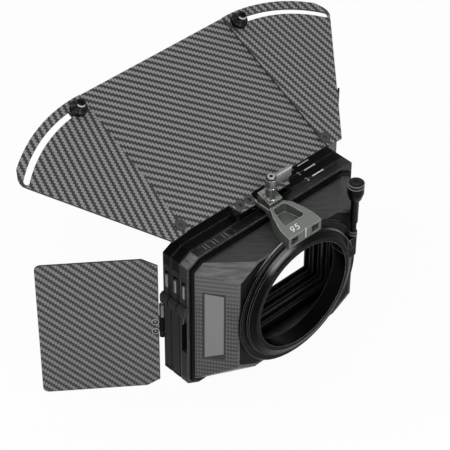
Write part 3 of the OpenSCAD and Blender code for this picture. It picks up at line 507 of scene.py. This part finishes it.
def seam_highlights(net, spot):
    """Mask of the lit edges beside the joints between the stages, on the left side."""
    depth = net.split(spot)[1]
    lines = [net.near(depth, (seam - 0.6) * MM, 0.3 * MM, 0.6 * MM) for seam in STAGE_SEAMS]
    return net.times(net.most(*lines), net.ramp(net.split(net.normal())[0], -0.7, -0.9))


def corner_reflection(net, spot):
    """Mask of the painted reflection on the streaky face that is cut off the box's upper left corner."""
    facing = net.split(net.normal())
    cut = net.times(net.ramp(facing[0], -0.25, -0.5), net.ramp(facing[2], 0.25, 0.5))
    streak = net.noise(net.vector("MULTIPLY", spot, (2200.0, 60.0, 60.0)), 1.0, 2.0)
    return net.times(cut, net.ramp(streak, 0.2, 0.55))


def knuckle(net, spot):
    """Mask of the left hinge's rear, outer and upper part, which the lamp catches."""
    x, y, z = net.split(spot)
    rear = net.ramp(y, 66.7 * MM, 66.4 * MM)
    outer = net.ramp(x, -HINGE_PIN[0] * MM, (-HINGE_PIN[0] - 0.2) * MM)
    return net.times(net.times(rear, outer), net.ramp(z, -27 * MM, -26 * MM))


def rib_highlights(net, spot):
    """Mask of the painted highlight on the slide's raised ribs, in pairs about the middle of each group."""
    x, _, z = net.split(spot)
    lines = []
    for middle in RIB_GROUPS:
        off = net.math("ABSOLUTE", net.math("SUBTRACT", x, middle * MM))
        lines.append(net.near(off, RIB_OFF * MM, 0.4 * MM, 0.6 * MM))
    return net.times(net.ramp(z, (BOX_TOP + 0.05) * MM, (BOX_TOP + 0.3) * MM), net.most(*lines))


def side_shade(net, spot):
    """Mask of the faces that don't look up, which are painted darker as painted shade."""
    return net.ramp(net.split(net.normal())[2], 0.6, 0.3)


def reach_about(net, spot, centre):
    """Distance from the upright axis through a point in mm."""
    return net.length(net.vector("SUBTRACT", spot, tuple(centre * MM)), (1.0, 1.0, 0.0))


def thread_shade(net, spot):
    """Mask of the painted shade in the grooves between the turns of the post's thread."""
    height = net.split(spot)[2]
    post = net.times(net.ramp(reach_about(net, spot, POST_AT), 0.0046, 0.0042), net.ramp(height, 0.0785, 0.0795))
    turn = net.math("FRACT", net.math("DIVIDE", height, 2.1 * MM))
    return net.times(post, net.ramp(turn, 0.4, 0.25))


def socket_shade(net, spot):
    """Mask of the painted shade in the socket of the lever's screw."""
    return net.ramp(reach_about(net, spot, POST_AT), 0.0018, 0.0014)


def catch_side_shade(net, spot):
    """Mask of the two folded sides of each tray's catch, painted dark as painted shade beside the lighter middle."""
    depth = net.math("SUBTRACT", net.split(spot)[1], (REAR_STAGE_MID - STAGE_PITCH / 2) * MM)
    part = net.math("FRACT", net.math("DIVIDE", depth, STAGE_PITCH * MM))
    return net.ramp(net.math("ABSOLUTE", net.math("SUBTRACT", part, 0.5)), 0.1, 0.16)


def flag_screw_highlights(net, spot):
    """Mask of the painted highlights on the rim of each side flag screw and on the middle of its cross, alike on both
    sides.
    """
    off = net.vector("SUBTRACT", net.vector("ABSOLUTE", spot), tuple(FLAG_SCREW * MM))
    beside = net.dot(off, (math.cos(SIDE_SWING), math.sin(SIDE_SWING), 0.0))
    above = net.math("SUBTRACT", net.math("ABSOLUTE", net.split(off)[2]), FLAG_SCREW_STEP / 2 * MM)
    reach = net.vector("LENGTH", net.add("CombineXYZ", {0: beside, 1: above}), out=1)
    cross = net.math("ADD", net.math("ABSOLUTE", beside), net.math("ABSOLUTE", above))
    return net.most(net.ramp(reach, 2.2 * MM, 2.5 * MM), net.ramp(cross, 1.5 * MM, 0.9 * MM))


def ring_place(net, spot):
    """Distance from the optical axis, depth along it, and angle about it in degrees."""
    x, y, z = net.split(spot)
    return net.length(spot, (1.0, 0.0, 1.0)), y, net.math("DEGREES", net.math("ARCTAN2", z, x))


def cone_highlight(net, spot):
    """Mask of the soft painted highlight on the clamp ring's cone, up to the left."""
    reach, _, angle = ring_place(net, spot)
    return net.times(net.near(reach, CONE_R * MM, 0.6 * MM, 3.4 * MM), net.near(angle, 115, 5, 19))


def ring_rims(net, spot):
    """Mask of the lit edges of the clamp ring: its flange up to the left and right, and its step on the right."""
    reach, depth, angle = ring_place(net, spot)
    turn = net.near(angle, 40, 8, 26)
    outer = net.times(net.ramp(reach, (FLANGE_R - 0.3) * MM, FLANGE_R * MM), net.ramp(depth, 6.6 * MM, 7.1 * MM))
    outer = net.times(outer, net.most(net.near(angle, 109, 9, 30), turn))
    inner = net.times(net.near(reach, STEP_R * MM, 0.2 * MM, 0.6 * MM), turn)
    return net.most(outer, net.times(inner, 0.6))


def knob_centre(side):
    """Where a wing's thumb screw meets the sheet; side is -1 on the left and 1 on the right."""
    return (FLAG_ORIGIN + RIGHT * side * (PIVOT_X + SLOT_R * math.sin(KNOB_TURN))
            + FLAG_UP * SLOT_R * math.cos(KNOB_TURN))


def knob_highlight(side):
    """Maker of the mask of the painted highlight, a bright crescent on one knob's end disc, on the rim that looks down
    and left.
    """
    def mask(net, spot):
        off = net.vector("SUBTRACT", spot, tuple(knob_centre(side) * MM))
        reach = net.vector("LENGTH", net.vector("CROSS_PRODUCT", off, tuple(FLAG_OUT)), out=1)
        toward = net.dot(off, -RIGHT * 0.54 - FLAG_UP * 0.84)
        rim = net.times(net.ramp(net.dot(off, FLAG_OUT), 0.0114, 0.0118), net.ramp(reach, 0.0029, 0.0033))
        return net.times(rim, net.ramp(net.math("DIVIDE", toward, reach), 0.35, 0.8))

    return mask


def screw_rims(net, spot):
    """Mask of the clamp screw's lit edges: two on its head and one on each collar."""
    height, reach = net.split(spot)[2], reach_about(net, spot, SCREW_AT)
    lines = []
    for low, high, least in ((75.7, 76.5, 5.9), (78.7, 79.5, 5.9), (29.3, 30.0, 2.7), (26.5, 27.2, 2.7)):
        tall = (high - low) * MM
        lines.append(net.times(net.near(height, (low + high) / 2 * MM, tall * 0.35, tall * 0.7),
                               net.ramp(reach, least * MM, (least + 0.3) * MM)))
    return net.most(*lines)


def lit_end_disc(net, spot):
    """Mask of the top of the clamp screw's head, which is painted lighter than the rest as painted light."""
    return net.ramp(net.split(spot)[2], 0.0791, 0.0794)


def shank_sheen(net, spot):
    """Mask of the light along the clamp screw's shank."""
    height = net.split(spot)[2]
    shank = net.times(net.ramp(height, 0.04, 0.043), net.ramp(height, 0.062, 0.06))
    return net.times(shank, net.ramp(net.dot(net.normal(), (0.6, -0.8, 0.0)), 0.72, 0.9))


def seen_directly(net):
    """1 for rays that show the white surroundings: from the camera, off a gloss or through glass."""
    path = net.add("LightPath").outputs
    return net.most(path["Is Camera Ray"], path["Is Glossy Ray"], path["Is Transmission Ray"])


class MatteBoxSizes(bpy.types.PropertyGroup):
    """Sizes and colours that a user would change."""
    tow_width: bpy.props.FloatProperty(name="Tow width", description="Width of one carbon tow, in mm", default=1.95,
                                       min=1.0, max=4.0)
    tow_light: bpy.props.FloatVectorProperty(name="Light tows", description="Colour of the tows that catch the light",
                                             subtype="COLOR", size=3, default=(0.245, 0.245, 0.245), min=0, max=1)
    tow_dark: bpy.props.FloatVectorProperty(name="Dark tows", description="Colour of the crossing tows",
                                            subtype="COLOR", size=3, default=(0.034, 0.034, 0.034), min=0, max=1)
    arm_tone: bpy.props.FloatProperty(name="Arm tone", description="Grey of the arm on the screen, 0 to 255",
                                      default=114.0, min=20, max=220)
    knurls: bpy.props.IntProperty(name="Knurls", description="Ridges round a flag knob", default=28, min=8, max=60)
    mark_width: bpy.props.FloatProperty(name="Mark width", description="Width of the printed lines, in mm",
                                        default=1.0, min=0.2, max=1.5)


class MatteBoxLight(bpy.types.PropertyGroup):
    """Light and floor of the studio."""
    floor_z: bpy.props.FloatProperty(name="Floor height", description="Height of the floor", unit="LENGTH",
                                     subtype="DISTANCE", default=-0.0875)
    world: bpy.props.FloatProperty(name="Sky strength", description="Light from all round", default=0.45, min=0)
    key: bpy.props.FloatProperty(name="Key power", description="Watts of the large lamp beside the camera",
                                 subtype="POWER", default=9.0, min=0)
    rear: bpy.props.FloatProperty(name="Rear power", description="Watts of the lamp above the clamp", subtype="POWER",
                                  default=6.5, min=0)
    low: bpy.props.FloatProperty(name="Low power", description="Watts of the small lamp behind the clamp",
                                 subtype="POWER", default=16.0, min=0)
    top: bpy.props.FloatProperty(name="Top power", description="Watts of the small lamp above the flag",
                                 subtype="POWER", default=4.0, min=0)


class PieceOperator:
    """What the operators share: they can be undone."""
    bl_options = {"REGISTER", "UNDO"}


class MATTEBOX_OT_sheets(PieceOperator, bpy.types.Operator):
    """Twill on the top flag's panel and wings and on the side flags, each along its own sheet"""
    bl_idname = "mattebox.sheets"
    bl_label = "Carbon sheets"

    def execute(self, context):
        s = context.scene.mattebox_sizes
        per = 1 / (s.tow_width * MM)
        dress(carbon_sheet("panel twill", RIGHT * per, FLAG_UP * per, FLAG_OUT, s), "flag_panel")
        c, w = math.cos(WING_SWING), math.sin(WING_SWING)
        for side, turn in (("left", 1), ("right", -1)):
            across = (c * RIGHT + turn * w * FLAG_UP) * per
            along = (-turn * w * RIGHT + c * FLAG_UP) * per
            dress(carbon_sheet(side + " wing twill", across * -turn, along, FLAG_OUT, s), side + "_wing")
        c, w = math.cos(SIDE_SWING), math.sin(SIDE_SWING)
        # The right flag's twill is painted darker, at three quarters of the left's tone, as painted shade.
        for side, turn, tone, gloss in (("left", -1, 1.0, 0.2), ("right", 1, 0.75, 0.01)):
            outward, face = np.array([turn * c, w, 0.0]), np.array([turn * w, -c, 0.0])
            dress(carbon_sheet(side + " flag twill", outward * per, -UP * per, face, s, 0.72, tone, gloss),
                  side + "_flag")
        return {"FINISHED"}


class MATTEBOX_OT_box(PieceOperator, bpy.types.Operator):
    """Black anodised metal on the filter box, its frames and hinges, and black plastic on the trays"""
    bl_idname = "mattebox.box"
    bl_label = "Filter box"

    def execute(self, context):
        dress(metal_finish("black metal", 8, painted_edge_tone=92, edge_sheen_and_wear=0.8, gloss=0.06, accents=((seam_highlights, 56),)),
              "stage_front", "stage_middle", "bracket_left", "bracket_right", "right_hinge", "left_leaf",
              "right_leaf", "flag_leaves", "arm_seat")
        dress(metal_finish("inner metal", 6, roughness=0.5, painted_edge_tone=26, gloss=0.06), "back_frame", "collar_plate")
        dress(metal_finish("rear stage metal", 22, roughness=0.3, painted_edge_tone=125, edge_sheen_and_wear=1.0, radius=0.00035, gloss=0.18,
                           accents=((corner_reflection, 102),)), "stage_rear")
        hinge_metal = metal_finish("hinge metal", 10, painted_edge_tone=92, edge_sheen_and_wear=0.8, gloss=0.08, accents=((knuckle, 118),))
        dress(hinge_metal, "left_hinge")
        barrels = []
        for sign in (-1, 1):
            for low, high in KNUCKLES:
                profile = [(2.0, low), (2.3, low + 0.3), (2.3, high - 0.3), (2.0, high)]
                barrels.append(turned(profile, 48, HINGE_PIN * (sign, 1, 1), RIGHT, FORWARD, UP))
        make_piece("hinge_knuckles", barrels, hinge_metal, "box")
        dress(rubber_finish("tray plastic", 15), "tray_1", "tray_2", "tray_3", "knob_washers")
        dress(metal_finish("slide metal", 28, roughness=0.3, painted_edge_tone=80, edge_sheen_and_wear=0.4, radius=0.00012, gloss=0.2,
                           accents=((rib_highlights, 105),)), "slide_lock")
        return {"FINISHED"}


class MATTEBOX_OT_shell(PieceOperator, bpy.types.Operator):
    """Moulded carbon on the rear shell, and its two bare label plates"""
    bl_idname = "mattebox.shell"
    bl_label = "Rear shell"

    def execute(self, context):
        dress(shell_finish(context.scene.mattebox_sizes), "shell")
        # The label plates' edges are painted darker than their face: a painted shadow line round each.
        dress(metal_finish("label plate", 117, roughness=0.45, painted_edge_tone=60, edge_sheen_and_wear=0.9, spread=0.04,
                           stretch=(1.0, 1.0, 0.1), radius=0.0005, gloss=0.2), "label_left", "label_right")
        return {"FINISHED"}


class MATTEBOX_OT_arm(PieceOperator, bpy.types.Operator):
    """Olive metal on the arm, and brighter metal on the lever, its plate and its threaded post"""
    bl_idname = "mattebox.arm"
    bl_label = "Latch arm"

    def execute(self, context):
        tone = context.scene.mattebox_sizes.arm_tone
        dress(metal_finish("olive metal", tone, tint=(0.96, 1.04, 0.93), roughness=0.36, metallic=0.35, painted_edge_tone=235,
                           edge_sheen_and_wear=1.1, radius=0.0006, spread=0.07, gloss=0.35, accents=((side_shade, tone * 0.74),)), "arm")
        dress(metal_finish("lever metal", 128, tint=(0.98, 1.02, 0.96), roughness=0.22, metallic=0.85, painted_edge_tone=225,
                           edge_sheen_and_wear=1.0, spread=0.08, gloss=0.4, accents=((thread_shade, 40),)),
              "latch_lever", "lever_plate")
        return {"FINISHED"}


class MATTEBOX_OT_clamp(PieceOperator, bpy.types.Operator):
    """Turned black metal on the clamp ring"""
    bl_idname = "mattebox.clamp"
    bl_label = "Clamp ring"

    def execute(self, context):
        dress(ring_finish("ring metal", 3, 150, ((cone_highlight, 128), (ring_rims, 160))), "clamp_ring")
        return {"FINISHED"}


class MATTEBOX_OT_fasteners(PieceOperator, bpy.types.Operator):
    """Blackened and bare steel on screws, pins, catches and the leaf spring, and the socket heads of the tabs"""
    bl_idname = "mattebox.fasteners"
    bl_label = "Screws and pins"

    def execute(self, context):
        dress(metal_finish("black steel", 34, metallic=0.3, roughness=0.38, edge_sheen_and_wear=0.6, radius=0.0003, gloss=0.3),
              "arm_screws", "hinge_screws", "tie_screws", "flag_pins")
        # Its edges are painted darker than the face: painted shade round each wing pivot and tab screw head.
        grey_steel = metal_finish("grey screw steel", 66, metallic=0.2, roughness=0.45, painted_edge_tone=30, edge_sheen_and_wear=1.0,
                                  radius=0.0005, gloss=0.2)
        dress(grey_steel, "wing_pivots")
        dress(metal_finish("bright screw steel", 40, metallic=0.2, edge_sheen_and_wear=0.8, gloss=0.1, accents=((flag_screw_highlights, 160),)),
              "left_flag_screws", "right_flag_screws")
        heads = []
        for across, r in TAB_SCREWS:
            profile = [(1.2, -3.2), (1.3, -3.0), (1.3, -0.3), (r - 0.25, -0.15), (r, 0.05), (r, 0.55), (r - 0.2, 0.8),
                       (r - 0.7, 0.9), (1.9, 0.9), (1.75, 0.8), (1.7, -0.6)]
            origin = FLAG_ORIGIN + RIGHT * across + FLAG_UP * TAB_SCREW_UP
            heads.append(turned(profile, 64, origin, RIGHT, FLAG_UP, FLAG_OUT))
        make_piece("tab_screws", heads, grey_steel, "top_flag", stands_for=("flag_screws",))
        dress(metal_finish("plain steel", 140, metallic=0.8, roughness=0.32, painted_edge_tone=215, edge_sheen_and_wear=0.5,
                           stretch=(0.1, 1.0, 1.0)),
              "left_pin", "right_pin", "leaf_spring", "plate_screws", "latch_pin_1", "latch_pin_2", "latch_pin_3")
        dress(rubber_finish("finger pad", 20), "finger_1", "finger_2", "finger_3")
        dress(metal_finish("lever screw steel", 165, metallic=0.6, roughness=0.3, painted_edge_tone=225,
                           accents=((socket_shade, 18),)), "lever_screw")
        dress(metal_finish("catch steel", 130, metallic=0.5, roughness=0.34, painted_edge_tone=170,
                           accents=((catch_side_shade, 24),)), "catch_1", "catch_2", "catch_3")
        return {"FINISHED"}


class MATTEBOX_OT_flag_knobs(PieceOperator, bpy.types.Operator):
    """Thumb screws that hold the wings: a knurled skirt, a cone, a neck and a hollow end disc"""
    bl_idname = "mattebox.flag_knobs"
    bl_label = "Flag knobs"

    def execute(self, context):
        count = context.scene.mattebox_sizes.knurls
        profile = [(1.95, -4.7), (1.95, 2.4), (6.5, 2.4), (6.9, 2.7), (7.0, 3.1), (7.0, 4.5), (7.0, 5.8), (6.85, 6.2),
                   (6.2, 6.7), (4.9, 7.6), (3.6, 8.2), (3.15, 8.6), (3.05, 9.6), (3.2, 10.4), (3.7, 10.8),
                   (3.8, 11.1), (3.8, 12.3), (3.55, 12.75), (2.2, 12.8), (2.0, 12.6), (1.9, 11.2)]
        ripple = knurl(count, 0.32, 2.7, 6.1, 0.4, 0.7)
        for side, sign in (("left", -1), ("right", 1)):
            material = metal_finish(side + " knob metal", 5, roughness=0.26, painted_edge_tone=70, edge_sheen_and_wear=0.3, radius=0.0003,
                                    gloss=0.12, accents=((knob_highlight(sign), 190),))
            shell = turned(profile, count * 6, knob_centre(sign), RIGHT, FLAG_UP, FLAG_OUT, ripple)
            make_piece(side + "_knob_grip", [shell], material, side + "_knob", stands_for=(side + "_knob",))
        return {"FINISHED"}


class MATTEBOX_OT_clamp_knob(PieceOperator, bpy.types.Operator):
    """Long thumb screw of the clamp, with its collars, knurled head and ring grooves"""
    bl_idname = "mattebox.clamp_knob"
    bl_label = "Clamp screw"

    def execute(self, context):
        profile = [(2.4, 7.4), (2.4, 25.2), (3.2, 25.3), (3.4, 25.6), (3.4, 26.8), (3.2, 27.2), (2.5, 27.3),
                   (2.5, 28.0), (3.1, 28.1), (3.3, 28.4), (3.3, 29.6), (3.1, 29.9), (2.4, 30.0), (2.4, 38.6),
                   (2.7, 39.0), (3.2, 39.4), (3.3, 40.0), (3.3, 61.6), (3.6, 62.4), (4.4, 62.6), (5.0, 63.4),
                   (6.0, 66.8), (6.4, 68.4), (6.7, 69.2), (6.7, 69.6), (6.7, 72.5), (6.7, 75.6), (6.7, 75.9),
                   (6.4, 76.3), (5.8, 76.4), (5.7, 77.7), (6.4, 77.8), (6.7, 78.1), (6.7, 79.0), (6.3, 79.4),
                   (5.2, 79.6), (3.4, 79.7), (3.0, 79.4), (1.2, 79.3)]
        shell = turned(profile, 192, SCREW_AT, RIGHT, FORWARD, UP, knurl(32, 0.22, 69.6, 75.6, 0.3))
        material = metal_finish("clamp screw metal", 5, roughness=0.24, painted_edge_tone=120, edge_sheen_and_wear=0.5, radius=0.0003,
                                gloss=0.08, accents=((lit_end_disc, 22), (screw_rims, 104), (shank_sheen, 54)))
        make_piece("clamp_screw_long", [shell], material, "clamp", stands_for=("clamp_screw",))
        return {"FINISHED"}


def arc(cx, cy, rx, ry, start, end, count=18):
    """Points of an ellipse's arc from start to end, in degrees."""
    t = np.radians(np.linspace(start, end, count))
    return np.stack([cx + rx * np.cos(t), cy + ry * np.sin(t)], -1)


def digit(number):
    """Strokes of a plain digit in a box 0.6 wide and 1 high."""
    shapes = {
        1: [np.array([[0.12, 0.78], [0.34, 1.0], [0.34, 0.0]])],
        2: [np.concatenate([arc(0.3, 0.72, 0.26, 0.28, 165, -35), [[0.04, 0.0], [0.58, 0.0]]])],
        3: [np.concatenate([arc(0.28, 0.75, 0.25, 0.25, 150, -90), arc(0.28, 0.26, 0.29, 0.26, 90, -150)])],
        5: [np.concatenate([[[0.54, 1.0], [0.12, 1.0], [0.07, 0.56]], arc(0.28, 0.32, 0.29, 0.32, 125, -150)])],
        9: [arc(0.3, 0.7, 0.26, 0.3, 0, 360, 28),
            np.concatenate([arc(0.3, 0.7, 0.26, 0.3, 0, -1, 2), arc(0.06, 0.6, 0.5, 0.6, 0, -75, 12)])],
    }
    return shapes[number]


def printed(lines, origin, along, up, out, width):
    """Closed bars along flat lines of (x, y) mm, laid on the face at origin with x along, y up and out its normal."""
    shells = []
    for line in lines:
        line = np.asarray(line, float)
        path = np.asarray(origin) + line[:, :1] * along + line[:, 1:] * up - PRINT_SUNK * np.asarray(out)
        shells.append(bar(path, out, width, PRINT_THICK + PRINT_SUNK))
    return shells


class MATTEBOX_OT_marks(PieceOperator, bpy.types.Operator):
    """White index lines with dots, plain digits, and the lines on arm and lever"""
    bl_idname = "mattebox.marks"
    bl_label = "Printed marks"

    def execute(self, context):
        width = context.scene.mattebox_sizes.mark_width
        white, pale = paint_finish("white paint", 245), paint_finish("grey paint", 175)
        top = (0, 0, BOX_TOP)
        dot = [(0.05, -PRINT_SUNK), (0.9, -PRINT_SUNK), (0.9, PRINT_THICK), (0.05, PRINT_THICK)]
        lines, digits = [], []
        for number, y in MARK_ROWS:
            lines += printed([[[x, y] for x in MARK_ENDS]], top, RIGHT, FORWARD, UP, width)
            lines.append(turned(dot, 20, (MARK_ENDS[1] + 0.4, y, BOX_TOP), RIGHT, FORWARD, UP))
            corner = np.array([MARK_DIGIT_X, y - MARK_DIGIT_HIGH / 2])
            strokes = [stroke * MARK_DIGIT_HIGH + corner for stroke in digit(number)]
            digits += printed(strokes, top, RIGHT, FORWARD, UP, 0.65)
        make_piece("index_marks", lines, white, "box")
        make_piece("index_digits", digits, pale, "box")

        rise = math.atan(0.18)
        slope = np.array([0.0, math.cos(rise), math.sin(rise)])
        out = np.array([0.0, -math.sin(rise), math.cos(rise)])
        rear_top = np.array([0.0, 1.2, 67.3])
        foot, slant = 3.6, 0.3
        size = [stroke * (5.4, 4.6) + (x, foot) for x, n in ((-10.2, 9), (-5.4, 5)) for stroke in digit(n)]
        size = [np.stack([line[:, 0] + slant * (line[:, 1] - foot), line[:, 1]], -1) for line in size]
        arm = printed(size, rear_top, RIGHT, slope, out, 0.7)
        arm += printed([[[0.9, 0.1], [0.9, 1.0]]], rear_top, RIGHT, slope, out, 0.6)
        arm += printed([[[0.9, 58.8], [0.9, 67.2]]], (0.0, 1.2, 0.0), RIGHT, UP, -FORWARD, 0.6)
        make_piece("arm_size_mark", arm, white, "box")
        handle = printed([[[5.6, -0.8], [21.0, -0.8]]], POST_AT + UP * LEVER_TOP, RIGHT, FORWARD, UP, 0.6)
        make_piece("lever_line", handle, white, "top_lever")
        return {"FINISHED"}


def frame_matrix(right, up, back, at):
    """Matrix whose first three columns are the axes of a lamp or camera and whose last is its place."""
    turn = np.eye(4)
    turn[:3] = np.stack([right, up, back, at], 1)
    return Matrix(turn.tolist())


class MATTEBOX_OT_studio(PieceOperator, bpy.types.Operator):
    """Floor, soft lamps, white surroundings and the camera"""
    bl_idname = "mattebox.studio"
    bl_label = "Studio"

    def lamp(self, name, at, size, power, only_gloss=False):
        """A square lamp at a point, aimed at the part's middle; only_gloss leaves it out of the matte light."""
        light = bpy.data.lights.new(name, "AREA")
        light.energy = power
        light.size = size
        lamp = bpy.data.objects.new(name, light)
        lamp.visible_diffuse = not only_gloss
        back = np.asarray(at) - np.array([0.0, 0.06, 0.02])
        back /= np.linalg.norm(back)
        right = np.cross(UP, back)
        right /= np.linalg.norm(right)
        lamp.matrix_world = frame_matrix(right, np.cross(back, right), back, at)
        bpy.context.scene.collection.objects.link(lamp)

    def floor(self, scene, height):
        """A square paper floor, 12 m wide, that looks white but keeps the part's shadow."""
        count = 9
        t = np.linspace(-6.0, 6.0, count)
        x, y = np.meshgrid(t, t, indexing="ij")
        points = np.stack([x, y, np.full_like(x, height)], -1).reshape(-1, 3)
        mesh = bpy.data.meshes.new("floor")
        mesh.from_pydata(points.tolist(), [], grid_quads(count, count, False)[:, ::-1].tolist())
        floor = bpy.data.objects.new("floor", mesh)
        scene.collection.objects.link(floor)
        paper = bpy.data.materials.new("white paper")
        paper.use_nodes = True
        net = Net(paper.node_tree)
        shader = paper.node_tree.nodes["Principled BSDF"]
        shader.inputs["Roughness"].default_value = 0.9
        shader.inputs["Base Color"].default_value = (0.92, 0.92, 0.92, 1)
        glow = net.add("Emission", {"Color": (1, 1, 1, 1), "Strength": 1.0})
        both = net.add("MixShader", {0: net.times(seen_directly(net), 0.94), 1: shader.outputs[0],
                                     2: glow.outputs[0]})
        net.join(both, paper.node_tree.nodes["Material Output"].inputs["Surface"])
        mesh.materials.append(paper)

    def execute(self, context):
        s = context.scene.mattebox_light
        scene = context.scene
        scene.view_settings.view_transform = "Standard"
        self.floor(scene, s.floor_z)

        world = bpy.data.worlds.new("white surroundings")
        world.use_nodes = True
        scene.world = world
        net = Net(world.node_tree)
        back = world.node_tree.nodes["Background"]
        back.inputs["Color"].default_value = (1, 1, 1, 1)
        net.join(net.blend(seen_directly(net), s.world, 1.0), back.inputs["Strength"])

        self.lamp("key lamp", (-1.1, -0.7, 1.0), 0.9, s.key)
        self.lamp("rear lamp", (-0.25, -1.35, 0.85), 0.45, s.rear)
        self.lamp("low lamp", (0.15, -1.25, 0.1), 0.2, s.low, only_gloss=True)
        self.lamp("top lamp", (-0.45, 0.85, 1.3), 0.5, s.top)

        data = bpy.data.cameras.new("camera")
        data.lens = 155.624
        data.sensor_width = 36.0
        data.clip_start = 0.05
        camera = bpy.data.objects.new("camera", data)
        right = np.array([0.72694786, -0.68667256, 0.00525346])
        down = np.array([-0.44877497, -0.48085967, -0.75324299])
        ahead = np.array([0.51975747, 0.54521076, -0.65772137])
        camera.matrix_world = frame_matrix(right, -down, -ahead, (-0.8143, -0.7642, 1.0455))
        scene.collection.objects.link(camera)
        scene.camera = camera
        return {"FINISHED"}


OPERATORS = (MATTEBOX_OT_sheets, MATTEBOX_OT_box, MATTEBOX_OT_shell, MATTEBOX_OT_arm, MATTEBOX_OT_clamp,
             MATTEBOX_OT_fasteners, MATTEBOX_OT_flag_knobs, MATTEBOX_OT_clamp_knob, MATTEBOX_OT_marks,
             MATTEBOX_OT_studio)


class MATTEBOX_PT_dressing(bpy.types.Panel):
    """Lists the pieces and their sizes"""
    bl_label = "Matte box"
    bl_idname = "MATTEBOX_PT_dressing"
    bl_space_type = "VIEW_3D"
    bl_region_type = "UI"
    bl_category = "Matte box"

    def draw(self, context):
        for group in (context.scene.mattebox_sizes, context.scene.mattebox_light):
            for key in type(group).__annotations__:
                self.layout.prop(group, key)
        for operator in OPERATORS:
            self.layout.operator(operator.bl_idname)


CLASSES = (MatteBoxSizes, MatteBoxLight) + OPERATORS + (MATTEBOX_PT_dressing,)


def register():
    for cls in CLASSES:
        bpy.utils.register_class(cls)
    bpy.types.Scene.mattebox_sizes = bpy.props.PointerProperty(type=MatteBoxSizes)
    bpy.types.Scene.mattebox_light = bpy.props.PointerProperty(type=MatteBoxLight)


def unregister():
    del bpy.types.Scene.mattebox_light
    del bpy.types.Scene.mattebox_sizes
    for cls in reversed(CLASSES):
        bpy.utils.unregister_class(cls)


def main():
    register()
    for operator in OPERATORS:
        group, name = operator.bl_idname.split(".")
        getattr(getattr(bpy.ops, group), name)()


if __name__ == "__main__":
    main()
